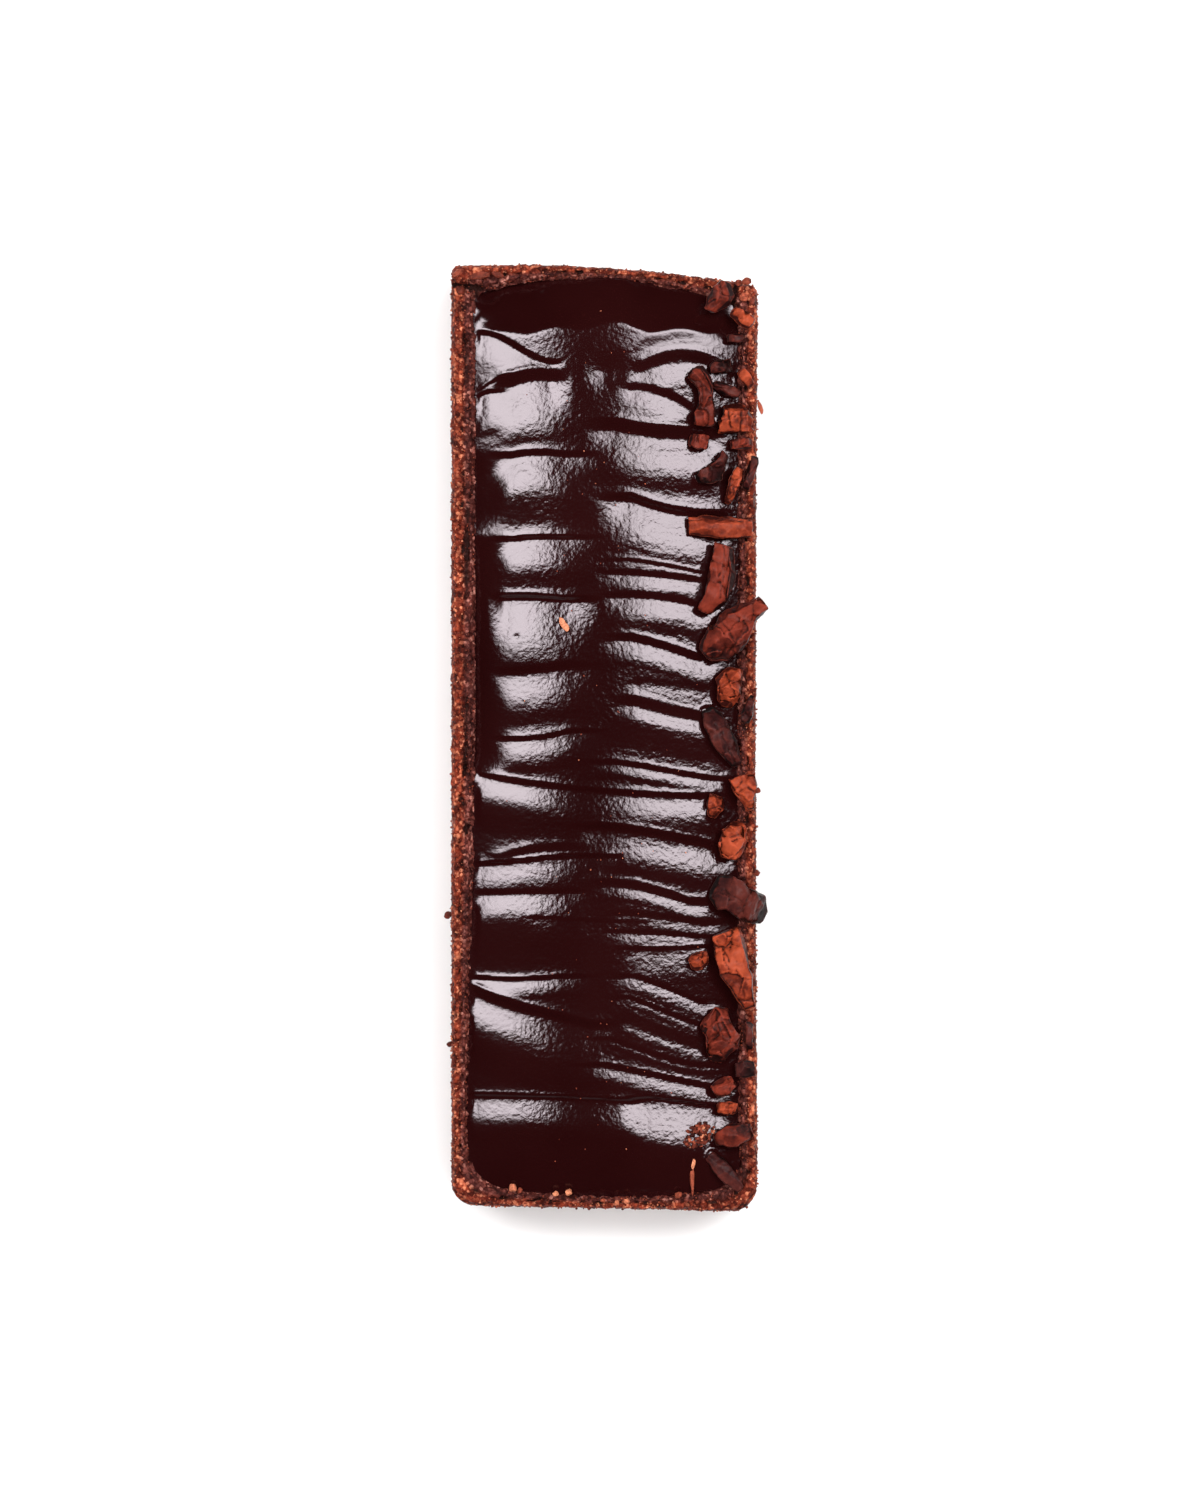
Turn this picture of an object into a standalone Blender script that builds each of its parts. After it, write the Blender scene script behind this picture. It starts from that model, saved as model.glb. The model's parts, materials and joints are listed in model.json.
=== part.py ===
"""A slim chocolate tart: a cocoa crust baked as an open tray, ganache spread across it in
overlapping knife strokes, and a row of broken cocoa nibs pressed in along one long side.

Axes: +X across the tart towards the nibs, +Y along it, +Z up. The origin is the middle of
the flat underside. Sizes below are in millimetres; add_object turns them into metres.
"""

import math
import random
from typing import NamedTuple

import bmesh
import bpy
import numpy as np
from mathutils import noise

MM = 0.001

# The crust
WIDTH = 40.0
LENGTH = 123.4
RIM_HEIGHT = 20.0
FLOOR_THICKNESS = 3.0
LEFT_WALL = 3.1
RIGHT_WALL = 2.4
END_WALL = 1.6  # at the middle of each short end
END_WALL_GAIN = 1.2  # how much thicker the end walls are END_WALL_REACH away from there
END_WALL_REACH = 13.0
RIM_WAVE = 0.25
RIM_DIPS = (  # where the rim is chipped: X, Y, how far along it, how deep
    (14.6, 61.0, 2.2, 1.1),
    (-17.0, 21.6, 1.4, 0.5),
)
OUTER_RADII = (0.9, 1.0, 3.0, 3.6)  # far right, far left, near left and near right corner
INNER_RADII = (1.6, 1.4, 5.0, 3.6)
CORNER_STEPS = 4
LONG_STEPS = 34
SHORT_STEPS = 14

# The ganache
FIT_GAP = 0.3  # between any two neighbouring pieces
FILL_EDGE = 19.0
CROWN = 2.8
CROWN_POWER = 2.2
END_FALL = 10.0  # how far from the end walls the crown starts to fall
ROWS = 104
COLUMNS = 14
CREST_STATIONS = (16.0, 9.5, 3.0)  # distance from the middle line: wall, middle, centre
STROKE_HEIGHT = 0.55


class Crest(NamedTuple):
    """The raised lip that one knife stroke leaves: where it runs, as Y at CREST_STATIONS."""

    wall: float
    middle: float
    centre: float
    lip: float = 1.0  # height, as a share of STROKE_HEIGHT
    drop: float = 1.6  # how far the face under the lip reaches, along Y


LEFT_CRESTS = (
    Crest(55.0, 51.0, 47.9, lip=0.6),
    Crest(44.9, 47.3, 47.7, lip=1.0, drop=2.2),
    Crest(36.7, 37.2, 37.4, lip=1.0),
    Crest(25.7, 26.2, 26.4, lip=0.9),
    Crest(18.8, 18.8, 18.6, lip=1.0),
    Crest(7.8, 8.0, 8.7, lip=0.35),
    Crest(0.0, 0.5, 1.2, lip=0.7),
    Crest(-4.2, -5.7, -6.5, lip=1.0, drop=1.8),
    Crest(-16.4, -15.8, -15.3, lip=0.8),
    Crest(-24.0, -22.4, -22.1, lip=0.6, drop=6.0),
    Crest(-31.2, -35.2, -37.4, lip=1.0, drop=2.0),
    Crest(-46.6, -46.6, -46.9, lip=0.8),
)
RIGHT_CRESTS = (
    Crest(55.4, 53.8, 51.3, lip=0.5),
    Crest(49.6, 51.0, 49.8, lip=0.8),
    Crest(43.4, 45.8, 47.6, lip=0.8, drop=2.0),
    Crest(40.6, 40.9, 41.4, lip=1.0, drop=2.2),
    Crest(29.5, 30.3, 32.0, lip=1.0),
    Crest(21.4, 22.3, 23.3, lip=0.9),
    Crest(17.2, 18.1, 18.5, lip=0.5),
    Crest(10.4, 11.9, 13.6, lip=1.0, drop=2.0),
    Crest(3.2, 4.3, 5.5, lip=0.9),
    Crest(-5.1, -3.9, -3.2, lip=0.9),
    Crest(-7.5, -7.1, -6.7, lip=0.5),
    Crest(-13.7, -12.2, -11.0, lip=0.9),
    Crest(-21.3, -19.8, -18.7, lip=1.0),
    Crest(-24.9, -23.4, -23.0, lip=0.6),
    Crest(-27.8, -27.4, -27.3, lip=0.3),
    Crest(-37.8, -36.0, -34.5, lip=0.7),
    Crest(-40.4, -38.9, -37.6, lip=0.8),
    Crest(-45.8, -44.3, -43.0, lip=0.9),
    Crest(-48.3, -47.8, -47.2, lip=0.5),
)

# The cocoa nibs
SIDES = 7
JITTER = 0.07  # how far a corner strays, as a share of the nib's width there
PROBE = 0.5  # how far around a point the nib's underside keeps clear of what it rests on


class Nib(NamedTuple):
    """One broken piece of roasted bean, described from its tail to its tip."""

    x: float
    y: float
    heading: float  # degrees from +X towards +Y
    length: float
    widths: tuple
    height: float
    tone: str
    offsets: tuple = (0.0,)  # how far the piece stands off to its left of a straight line


NIBS = (
    Nib(14.8, 57.6, 67, 4.4, (1.6, 3.1, 3.0, 1.4), 2.4, "red", (0.2, -0.3, -0.5, -0.2)),
    Nib(18.0, 54.7, -35, 3.2, (1.5, 2.2, 1.7), 2.2, "light"),
    Nib(17.1, 52.1, 0, 2.2, (1.1, 1.3, 1.1), 1.1, "dark"),
    Nib(15.2, 48.4, 10, 2.9, (1.4, 2.0, 1.9), 1.9, "dark"),
    Nib(16.0, 45.4, -20, 3.6, (1.2, 1.7, 0.9), 1.8, "dark"),
    Nib(18.5, 46.8, -55, 2.6, (1.3, 1.5, 0.9), 1.9, "light"),
    Nib(
        12.8, 44.6, -87, 7.9, (1.2, 3.1, 1.9, 1.9, 2.6, 2.8), 2.6, "red",
        (0.0, -0.3, 0.4, 0.5, 0.1, 0.0),
    ),
    Nib(17.1, 41.8, 94, 3.7, (4.6, 4.4, 3.5, 2.3), 2.8, "light"),
    Nib(12.3, 38.6, -10, 2.6, (1.8, 2.1, 1.8), 1.9, "red"),
    Nib(17.8, 38.2, 5, 2.9, (1.2, 1.6, 1.5), 1.8, "red"),
    Nib(
        13.7, 35.3, 40, 5.4, (1.2, 2.4, 2.8, 1.6, 1.2), 2.4, "dark",
        (0.0, -0.7, -1.1, -0.7, 0.0),
    ),
    Nib(16.8, 32.8, 70, 5.0, (0.8, 1.2, 1.6, 1.6, 0.9), 2.2, "light"),
    Nib(19.1, 34.5, 73, 4.6, (0.9, 1.2, 1.2, 1.0), 1.5, "dark"),
    Nib(15.1, 27.4, -2, 8.3, (2.2, 2.9, 2.9, 2.6, 2.3), 2.8, "light"),
    Nib(
        14.3, 20.7, 73, 9.2, (2.0, 3.3, 3.6, 3.4, 2.7), 3.0, "red",
        (0.0, -0.9, -1.0, -0.65, 0.0),
    ),
    Nib(
        17.0, 14.0, 40, 10.3, (2.6, 5.0, 4.9, 4.6, 2.7, 2.1), 3.4, "red",
        (0.0, 0.0, 0.0, 0.4, 0.6, 0.2),
    ),
    Nib(16.5, 6.4, 78, 5.3, (2.0, 3.0, 3.9, 1.8), 3.0, "light", (0.0, 0.1, 0.5, 0.0)),
    Nib(18.8, 3.7, 76, 3.8, (1.2, 1.7, 1.1, 0.6), 1.8, "dark"),
    Nib(15.3, 0.1, 117, 8.8, (1.4, 2.7, 3.2, 2.8, 1.5), 2.2, "dark"),
    Nib(18.5, -7.4, 104, 4.6, (0.9, 1.9, 3.3, 3.4), 2.4, "light"),
    Nib(14.4, -9.1, 72, 3.0, (1.0, 2.4, 2.3), 1.9, "light"),
    Nib(16.8, -13.4, 76, 5.2, (2.0, 3.6, 3.4, 1.9), 2.6, "light"),
    Nib(17.7, -21.4, -30, 8.5, (2.8, 5.2, 4.3, 4.2, 2.6), 3.0, "dark"),
    Nib(
        17.4, -30.5, 108, 10.6, (1.5, 2.9, 4.1, 4.5, 3.9), 3.2, "light",
        (0.0, 0.2, 0.4, 0.2, -0.1),
    ),
    Nib(12.3, -29.2, 20, 2.6, (1.8, 2.5, 1.8), 2.1, "light"),
    Nib(
        14.9, -38.9, 86, 7.1, (2.0, 4.1, 4.7, 4.2, 1.9), 3.2, "red",
        (0.0, -0.5, -0.3, 0.5, 0.0),
    ),
    Nib(18.9, -39.1, 90, 3.8, (0.8, 1.0, 0.9), 1.4, "dark"),
    Nib(18.4, -43.4, 4, 2.6, (1.8, 2.3, 2.2), 1.5, "dark"),
    Nib(15.6, -45.7, 30, 3.0, (2.0, 2.5, 1.5), 2.3, "red"),
    Nib(16.1, -48.5, 0, 2.8, (1.4, 1.8, 1.4), 1.8, "light"),
    Nib(16.8, -52.0, 15, 5.1, (1.5, 2.9, 3.0, 1.7), 2.2, "red"),
    Nib(15.7, -56.9, -47, 6.2, (1.4, 2.2, 2.2, 1.2), 2.0, "dark"),
)


def blend(low, high, value):
    """0 up to low, 1 from high, and a smooth step between them."""
    share = np.clip((value - low) / (high - low), 0.0, 1.0)
    return share * share * (3.0 - 2.0 * share)


# ---- The outlines of the crust, seen from above


def rounded_rectangle(left, right, near, far, radii):
    """Points anticlockwise from the right side's near end, the same number for any size."""
    corners = (
        (right, far, -1, -1, 0),
        (left, far, 1, -1, 90),
        (left, near, 1, 1, 180),
        (right, near, -1, 1, 270),
    )
    arcs = []
    for (x, y, to_x, to_y, start), radius in zip(corners, radii):
        angles = [start + 90 * step / CORNER_STEPS for step in range(CORNER_STEPS + 1)]
        centre = (x + to_x * radius, y + to_y * radius)
        arcs.append([
            (
                centre[0] + radius * math.cos(math.radians(angle)),
                centre[1] + radius * math.sin(math.radians(angle)),
            )
            for angle in angles
        ])
    points = []
    for arc, following, steps in zip(
        arcs, arcs[1:] + arcs[:1], (SHORT_STEPS, LONG_STEPS) * 2
    ):
        points += arc
        first, last = np.array(arc[-1]), np.array(following[0])
        points += [tuple(first + (last - first) * step / steps) for step in range(1, steps)]
    return np.array(points)


def baked_shape(x, y):
    """Moves a point of the plain rectangle to where the slightly uneven baked crust has it."""
    along = 2.0 * y / LENGTH
    far_end = 0.1 - 0.0027 * ((x + 12.0) ** 2)
    near_end = 0.02 - 0.022 * x
    y = y + blend(0.8, 1.0, along) * far_end + blend(0.8, 1.0, -along) * near_end
    drawn_in = 0.25 * (1.0 - np.minimum(along**2, 1.0))
    return x - drawn_in * blend(0.0, 10.0, x), y


def inner_shape(x, y):
    """As baked_shape, for the inner face, where the end walls thicken towards the corners."""
    extra = END_WALL_GAIN * (x / END_WALL_REACH) ** 2
    half = LENGTH / 2 - END_WALL
    y = y - np.sign(y) * extra * blend(half - 9.0, half, np.abs(y))
    return baked_shape(x, y)


def inner_limits(inset=0.0):
    """Left, right, near and far side of the inner rectangle, drawn in by inset."""
    half_width, half_length = WIDTH / 2, LENGTH / 2
    return (
        -half_width + LEFT_WALL + inset,
        half_width - RIGHT_WALL - inset,
        -half_length + END_WALL + inset,
        half_length - END_WALL - inset,
    )


def outer_outline(inset=0.0):
    half_width, half_length = WIDTH / 2 - inset, LENGTH / 2 - inset
    radii = [max(radius - inset, 0.3) for radius in OUTER_RADII]
    plain = rounded_rectangle(-half_width, half_width, -half_length, half_length, radii)
    return np.stack(baked_shape(plain[:, 0], plain[:, 1]), axis=1)


def inner_outline(inset=0.0):
    plain = rounded_rectangle(*inner_limits(inset), INNER_RADII)
    return np.stack(inner_shape(plain[:, 0], plain[:, 1]), axis=1)


# ---- The heights of the crust's rim and of the ganache


def rim_wave(x, y):
    """How far the rim stands above its nominal height: a slow wave, and the chips in it."""
    wave = RIM_WAVE * np.sin(0.23 * y + 0.11 * x) * np.cos(0.061 * y - 0.2 * x)
    for dip_x, dip_y, reach, depth in RIM_DIPS:
        wave = wave - depth * np.exp(-((x - dip_x) ** 2 + (y - dip_y) ** 2) / reach**2)
    return wave


def crest_line(crest, distance):
    """Y of a crest at a distance from the middle line: a parabola through its stations."""
    wall, middle, centre = CREST_STATIONS
    at_wall = (distance - middle) * (distance - centre) / ((wall - middle) * (wall - centre))
    at_middle = (distance - wall) * (distance - centre) / ((middle - wall) * (middle - centre))
    return (
        crest.wall * at_wall
        + crest.middle * at_middle
        + crest.centre * (1.0 - at_wall - at_middle)
    )


def strokes_on_one_side(crests, distance, y):
    """Overlapping scallops: each swells gently, curls up to its lip, then drops steeply."""
    first, last = crests[0], crests[-1]
    start = crest_line(first, distance)
    height = np.where(y > start, first.lip * np.exp((start - y) / 2.0), 0.0)
    for crest, following in zip(crests, crests[1:]):
        upper = crest_line(crest, distance)
        pitch = np.maximum(upper - crest_line(following, distance), 0.4)
        share = (upper - y) / pitch
        drop = np.minimum(crest.drop / pitch, 0.6)
        rest = np.clip((share - drop) / (1.0 - drop), 0.0, 1.0)
        swell = 0.9 * rest * (1.0 - rest)
        curl = following.lip * rest**4
        fall = crest.lip * (1.0 - blend(0.0, 1.0, share / drop))
        calm = np.minimum(pitch / 3.0, 1.0)
        scallop = calm * (swell + curl + fall)
        height = np.where((share >= 0.0) & (share < 1.0), scallop, height)
    under = crest_line(last, distance) - y
    return np.where(under >= 0.0, last.lip * (1.0 - blend(0.0, last.drop, under)), height)


def ganache_height(x, y):
    """Height of the ganache: a long crown with the knife strokes on its two flanks."""
    left, right, near, far = inner_limits()
    middle, half_width = (left + right) / 2, (right - left) / 2
    across = np.minimum(np.abs(x - middle) / half_width, 1.0)
    to_end = np.minimum(y - near, far - y)
    end = np.clip(1.0 - to_end / END_FALL, 0.0, 1.0)
    crown = CROWN * (1.0 - across**CROWN_POWER) * (1.0 - end**2)
    distance = np.abs(x)
    left_side = strokes_on_one_side(LEFT_CRESTS, distance, y)
    right_side = strokes_on_one_side(RIGHT_CRESTS, distance, y)
    to_right = blend(-3.0, 3.0, x)
    strokes = left_side * (1.0 - to_right) + right_side * to_right
    strokes *= 0.35 + 0.65 * blend(1.0, 7.0, distance)
    strokes *= 1.0 - blend(0.9, 1.0, across)
    strokes *= blend(0.0, END_FALL, to_end)
    return FILL_EDGE + crown + STROKE_HEIGHT * strokes


def resting_height(x, y):
    """The highest thing near a point that a nib could touch: the ganache or the rim."""
    left, right, near, far = inner_limits()
    x, y = np.asarray(x, float), np.asarray(y, float)
    highest = np.zeros_like(x)
    for step_x in (-PROBE, 0.0, PROBE):
        for step_y in (-PROBE, 0.0, PROBE):
            px, py = x + step_x, y + step_y
            thicker = END_WALL_GAIN * (px / END_WALL_REACH) ** 2
            inside = (px < right - 0.6) & (py < far - thicker - 2.0) & (py > near + thicker)
            level = np.where(
                inside, ganache_height(px, py), RIM_HEIGHT + 0.2 + rim_wave(px, py)
            )
            highest = np.maximum(highest, level)
    return highest


# ---- Building the pieces


def material(name, colour, roughness):
    made = bpy.data.materials.new(name)
    made.use_nodes = True
    shader = made.node_tree.nodes["Principled BSDF"]
    shader.inputs["Base Color"].default_value = (*colour, 1.0)
    shader.inputs["Roughness"].default_value = roughness
    shader.inputs["Metallic"].default_value = 0.0
    return made


def add_object(name, shape, finish, smooth_angle=None, origin=(0.0, 0.0, 0.0)):
    """Puts a bmesh in millimetres into the scene as an object in metres."""
    bmesh.ops.translate(shape, vec=[-value for value in origin], verts=shape.verts)
    bmesh.ops.scale(shape, vec=(MM, MM, MM), verts=shape.verts)
    bmesh.ops.recalc_face_normals(shape, faces=shape.faces)
    mesh = bpy.data.meshes.new(name)
    shape.to_mesh(mesh)
    shape.free()
    mesh.materials.append(finish)
    if smooth_angle is not None:
        mesh.shade_smooth()
        mesh.set_sharp_from_angle(angle=math.radians(smooth_angle))
    made = bpy.data.objects.new(name, mesh)
    made.location = [value * MM for value in origin]
    bpy.context.scene.collection.objects.link(made)
    return made


def add_ring(shape, outline, heights):
    return [shape.verts.new((x, y, z)) for (x, y), z in zip(outline, heights)]


def join_rings(shape, rings):
    for lower, upper in zip(rings, rings[1:]):
        for corner in range(len(lower)):
            after = (corner + 1) % len(lower)
            shape.faces.new((lower[corner], lower[after], upper[after], upper[corner]))


def build_crust(finish):
    """The tray: a flat foot, straight sides, and a rim with a high outer and low inner edge."""
    outer, inner = outer_outline(), inner_outline()
    foot = outer_outline(inset=0.5)
    count = len(outer)
    wave = rim_wave(outer[:, 0], outer[:, 1])
    rough = np.array([noise.noise((x * 0.9, y * 0.9, 3.0)) for x, y in outer])
    shape = bmesh.new()

    def across_wall(share, height):
        return add_ring(shape, outer + (inner - outer) * share, height)

    rings = [
        add_ring(shape, foot, np.zeros(count)),
        across_wall(0.0, np.full(count, 0.6)),
        across_wall(0.0, np.full(count, RIM_HEIGHT * 0.5)),
        across_wall(0.0, RIM_HEIGHT - 0.7 + wave),
        across_wall(0.16, RIM_HEIGHT + wave + 0.2 * rough),
        across_wall(0.42, RIM_HEIGHT + wave - 0.05 + 0.15 * rough),
        across_wall(0.56, RIM_HEIGHT + wave - 0.35),
        across_wall(0.78, RIM_HEIGHT + wave - 0.25 - 0.2 * rough),
        across_wall(1.0, RIM_HEIGHT + wave - 0.75),
        across_wall(1.0, np.full(count, FLOOR_THICKNESS)),
    ]
    join_rings(shape, rings)
    shape.faces.new(rings[0])
    shape.faces.new(rings[-1])
    return add_object("crust", shape, finish, smooth_angle=40)


def build_ganache(finish):
    """The filling: a grid over the tray's inside, closed by straight sides and a flat base."""
    left, right, near, far = inner_limits(FIT_GAP)
    far_right, far_left, near_left, near_right = INNER_RADII
    shape = bmesh.new()
    rows = []
    for row in range(ROWS + 1):
        y = near + (far - near) * row / ROWS
        left_radius, right_radius = (
            (far_left, far_right) if y > 0 else (near_left, near_right)
        )
        to_end = min(y - near, far - y)
        low = left + corner_inset(left_radius, to_end)
        high = right - corner_inset(right_radius, to_end)
        x = np.linspace(low, high, COLUMNS + 1)
        x, shaped_y = inner_shape(x, np.full_like(x, y))
        z = ganache_height(x, shaped_y)
        rows.append([shape.verts.new(point) for point in zip(x, shaped_y, z)])
    for front, back in zip(rows, rows[1:]):
        for column in range(COLUMNS):
            corners = (front[column], front[column + 1], back[column + 1], back[column])
            shape.faces.new(corners)
    rim = (
        rows[0]
        + [row[-1] for row in rows[1:-1]]
        + rows[-1][::-1]
        + [row[0] for row in rows[-2:0:-1]]
    )
    base = [shape.verts.new((v.co.x, v.co.y, FLOOR_THICKNESS + FIT_GAP)) for v in rim]
    join_rings(shape, [base, rim])
    shape.faces.new(base)
    return add_object("ganache", shape, finish, smooth_angle=35)


def corner_inset(radius, to_end):
    """How far a rounded corner draws a row in, at a distance from the end."""
    if to_end >= radius:
        return 0.0
    return radius - math.sqrt(radius**2 - (radius - to_end) ** 2)


def build_nib(name, nib, finish, seed):
    """A faceted lump lofted along its spine, its underside following what it lies on."""
    dice = random.Random(seed)
    heading = math.radians(nib.heading)
    forward = np.array((math.cos(heading), math.sin(heading)))
    leftward = np.array((-forward[1], forward[0]))
    middle = np.array((nib.x, nib.y))
    ground = float(resting_height(nib.x, nib.y))
    shape = bmesh.new()
    stations = 2 * len(nib.widths) - 1
    rings = []
    for station in range(stations):
        share = station / (stations - 1)
        width = np.interp(share, np.linspace(0, 1, len(nib.widths)), nib.widths)
        spine = middle + forward * nib.length * (share - 0.5)
        spine = spine + leftward * np.interp(
            share, np.linspace(0, 1, len(nib.offsets)), nib.offsets
        )
        bulge = 0.72 + 0.28 * math.sin(math.pi * share)
        ring = []
        for side in range(SIDES):
            turn = 2.0 * math.pi * (side + 0.5) / SIDES - math.pi / 2
            stray = [dice.uniform(-JITTER, JITTER) * width for _ in range(3)]
            across = 0.5 * width * min(1.0, max(-1.0, 1.18 * math.cos(turn))) + stray[0]
            up = 0.5 * (1.0 + min(1.0, 1.2 * math.sin(turn))) * nib.height * bulge + stray[1]
            x, y = spine + leftward * across + forward * stray[2]
            floor = float(resting_height(x, y)) + FIT_GAP
            top = ground + FIT_GAP + up
            z = floor if math.sin(turn) < -0.3 else max(top, floor + 0.35)
            ring.append(shape.verts.new((x, y, z)))
        rings.append(ring)
    join_rings(shape, rings)
    shape.faces.new(rings[0])
    shape.faces.new(rings[-1])
    bmesh.ops.triangulate(shape, faces=shape.faces)
    return add_object(name, shape, finish, origin=(nib.x, nib.y, ground))


def build_tart():
    for leftover in list(bpy.data.objects):
        bpy.data.objects.remove(leftover)
    build_crust(material("crust", (0.165, 0.050, 0.028), 0.85))
    build_ganache(material("ganache", (0.022, 0.007, 0.006), 0.15))
    tones = {
        "light": material("nib_light", (0.330, 0.075, 0.035), 0.5),
        "red": material("nib_red", (0.180, 0.040, 0.028), 0.45),
        "dark": material("nib_dark", (0.060, 0.020, 0.020), 0.4),
    }
    for number, nib in enumerate(NIBS, start=1):
        build_nib(f"nib_{number:02d}", nib, tones[nib.tone], seed=number)


build_tart()
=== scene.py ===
"""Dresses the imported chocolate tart: a grainy cocoa crust, glossy ganache spread in knife
strokes, roasted cocoa nibs along one side and the crumbs that baking leaves.

Shapes are worked out in millimetres, in the row frame: +X across the tart towards the
nibs, +Y along it, +Z up. Meshes and places in the scene are in metres.
"""

import json
import math
import random
from typing import NamedTuple

import bmesh
import bpy
import numpy as np
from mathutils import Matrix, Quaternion, Vector, kdtree, noise


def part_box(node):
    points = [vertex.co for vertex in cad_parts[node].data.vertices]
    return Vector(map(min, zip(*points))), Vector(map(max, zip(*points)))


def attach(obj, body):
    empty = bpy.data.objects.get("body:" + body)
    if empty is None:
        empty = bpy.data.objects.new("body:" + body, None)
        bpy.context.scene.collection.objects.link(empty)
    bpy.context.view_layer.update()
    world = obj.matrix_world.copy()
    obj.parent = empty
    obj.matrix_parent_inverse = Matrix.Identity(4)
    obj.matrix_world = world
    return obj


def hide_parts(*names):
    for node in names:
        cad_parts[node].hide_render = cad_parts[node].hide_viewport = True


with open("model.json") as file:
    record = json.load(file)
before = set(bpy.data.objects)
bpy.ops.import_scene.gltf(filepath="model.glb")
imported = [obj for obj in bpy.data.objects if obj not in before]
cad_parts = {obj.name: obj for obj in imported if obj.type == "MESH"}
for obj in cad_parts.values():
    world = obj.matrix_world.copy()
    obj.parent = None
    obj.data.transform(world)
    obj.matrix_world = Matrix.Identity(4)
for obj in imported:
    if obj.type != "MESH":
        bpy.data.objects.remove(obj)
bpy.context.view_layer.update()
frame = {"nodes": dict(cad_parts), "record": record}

MM = 0.001

crust_low, crust_high = (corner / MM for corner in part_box("crust"))
ganache_low, ganache_high = (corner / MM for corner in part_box("ganache"))

# The crust, as its solid is
RIM = 20.0
END_WALL = 1.6
END_WALL_GAIN = 1.2
END_WALL_REACH = 13.0
WIDTH = crust_high.x - crust_low.x
LENGTH = 123.4
LEFT = ganache_low.x - 0.3
RIGHT = ganache_high.x + 0.3
NEAR = -LENGTH / 2 + END_WALL
FAR = LENGTH / 2 - END_WALL
OUTER_RADII = (0.9, 1.0, 3.0, 3.6)  # far right, far left, near left and near right corner
INNER_RADII = (1.6, 1.4, 5.0, 3.6)
RIM_WAVE = 0.25
RIM_DIPS = ((14.6, 61.0, 2.2, 1.1), (-17.0, 21.6, 1.4, 0.5))
CRUST_STEP = 0.28  # between the mesh's points around the crust
WALL_STEP = 0.45  # between them up its wall
RIM_RINGS = 18

# The ganache, as its solid is, and finer
FILL_EDGE = 19.0
CROWN = 2.8
CROWN_POWER = 2.1
END_FALL = 10.0
LATE_FALL = 3.0  # how much shorter that fall is on the right
FAR_POWER = 8.0  # how evenly across its width the ganache slopes to the far wall
FAR_WAVE = 0.8
FAR_LEFT = 1.0  # how much longer that slope is beside the left wall
FAR_BEND = 3.6  # from there to where the crown starts, the far end has an even slope
FAR_SLOPE = 0.36
FAR_KNEE = 0.02  # how rounded the end of that slope is
PAST_EDGE = 1.04  # the ganache goes on falling a little way into the crust
GANACHE_STEP = 0.22
RIPPLE = 0.003
SPARKLE = 0.007
BLOTCH = 0.010  # how uneven the strokes on the right are, over a millimetre or two
CALM = 0.50  # the share of the roughness that is left beside the left wall
FAR_CALM = 0.6  # the share that is lost in the far right corner
MENISCUS = 0.22  # how far the ganache climbs against a nib
MENISCUS_REACH = 0.32
TUCK = 0.35  # how far the ganache reaches into the uneven crust


class Stroke(NamedTuple):
    """One pull of the knife. Its path is the lip it leaves, and it falls away towards -Y."""

    path: tuple  # X and Y of points along the lip
    lip: float  # how high the lip stands
    curl: float  # how far before the lip the ganache starts to curl up
    drop: float  # how far the steep face under the lip reaches
    climb: float  # how far it climbs from the trough under that
    fall: float  # how far it then falls gently
    fade: tuple = (2.5, 5.0)  # over what length it dies out, beside the wall and in the middle
    slope: float = 0.085  # of the climb, on average


CLIMB_EASE = 0.75  # below 1 the climb is steepest early on
FALL_SLOPE = 0.035
NIB_REACH = 1.3  # how far the strokes on the right run on beneath the nibs
DEEPEST_FALL = 0.6  # the most of a climb that the fall after it takes back

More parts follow.
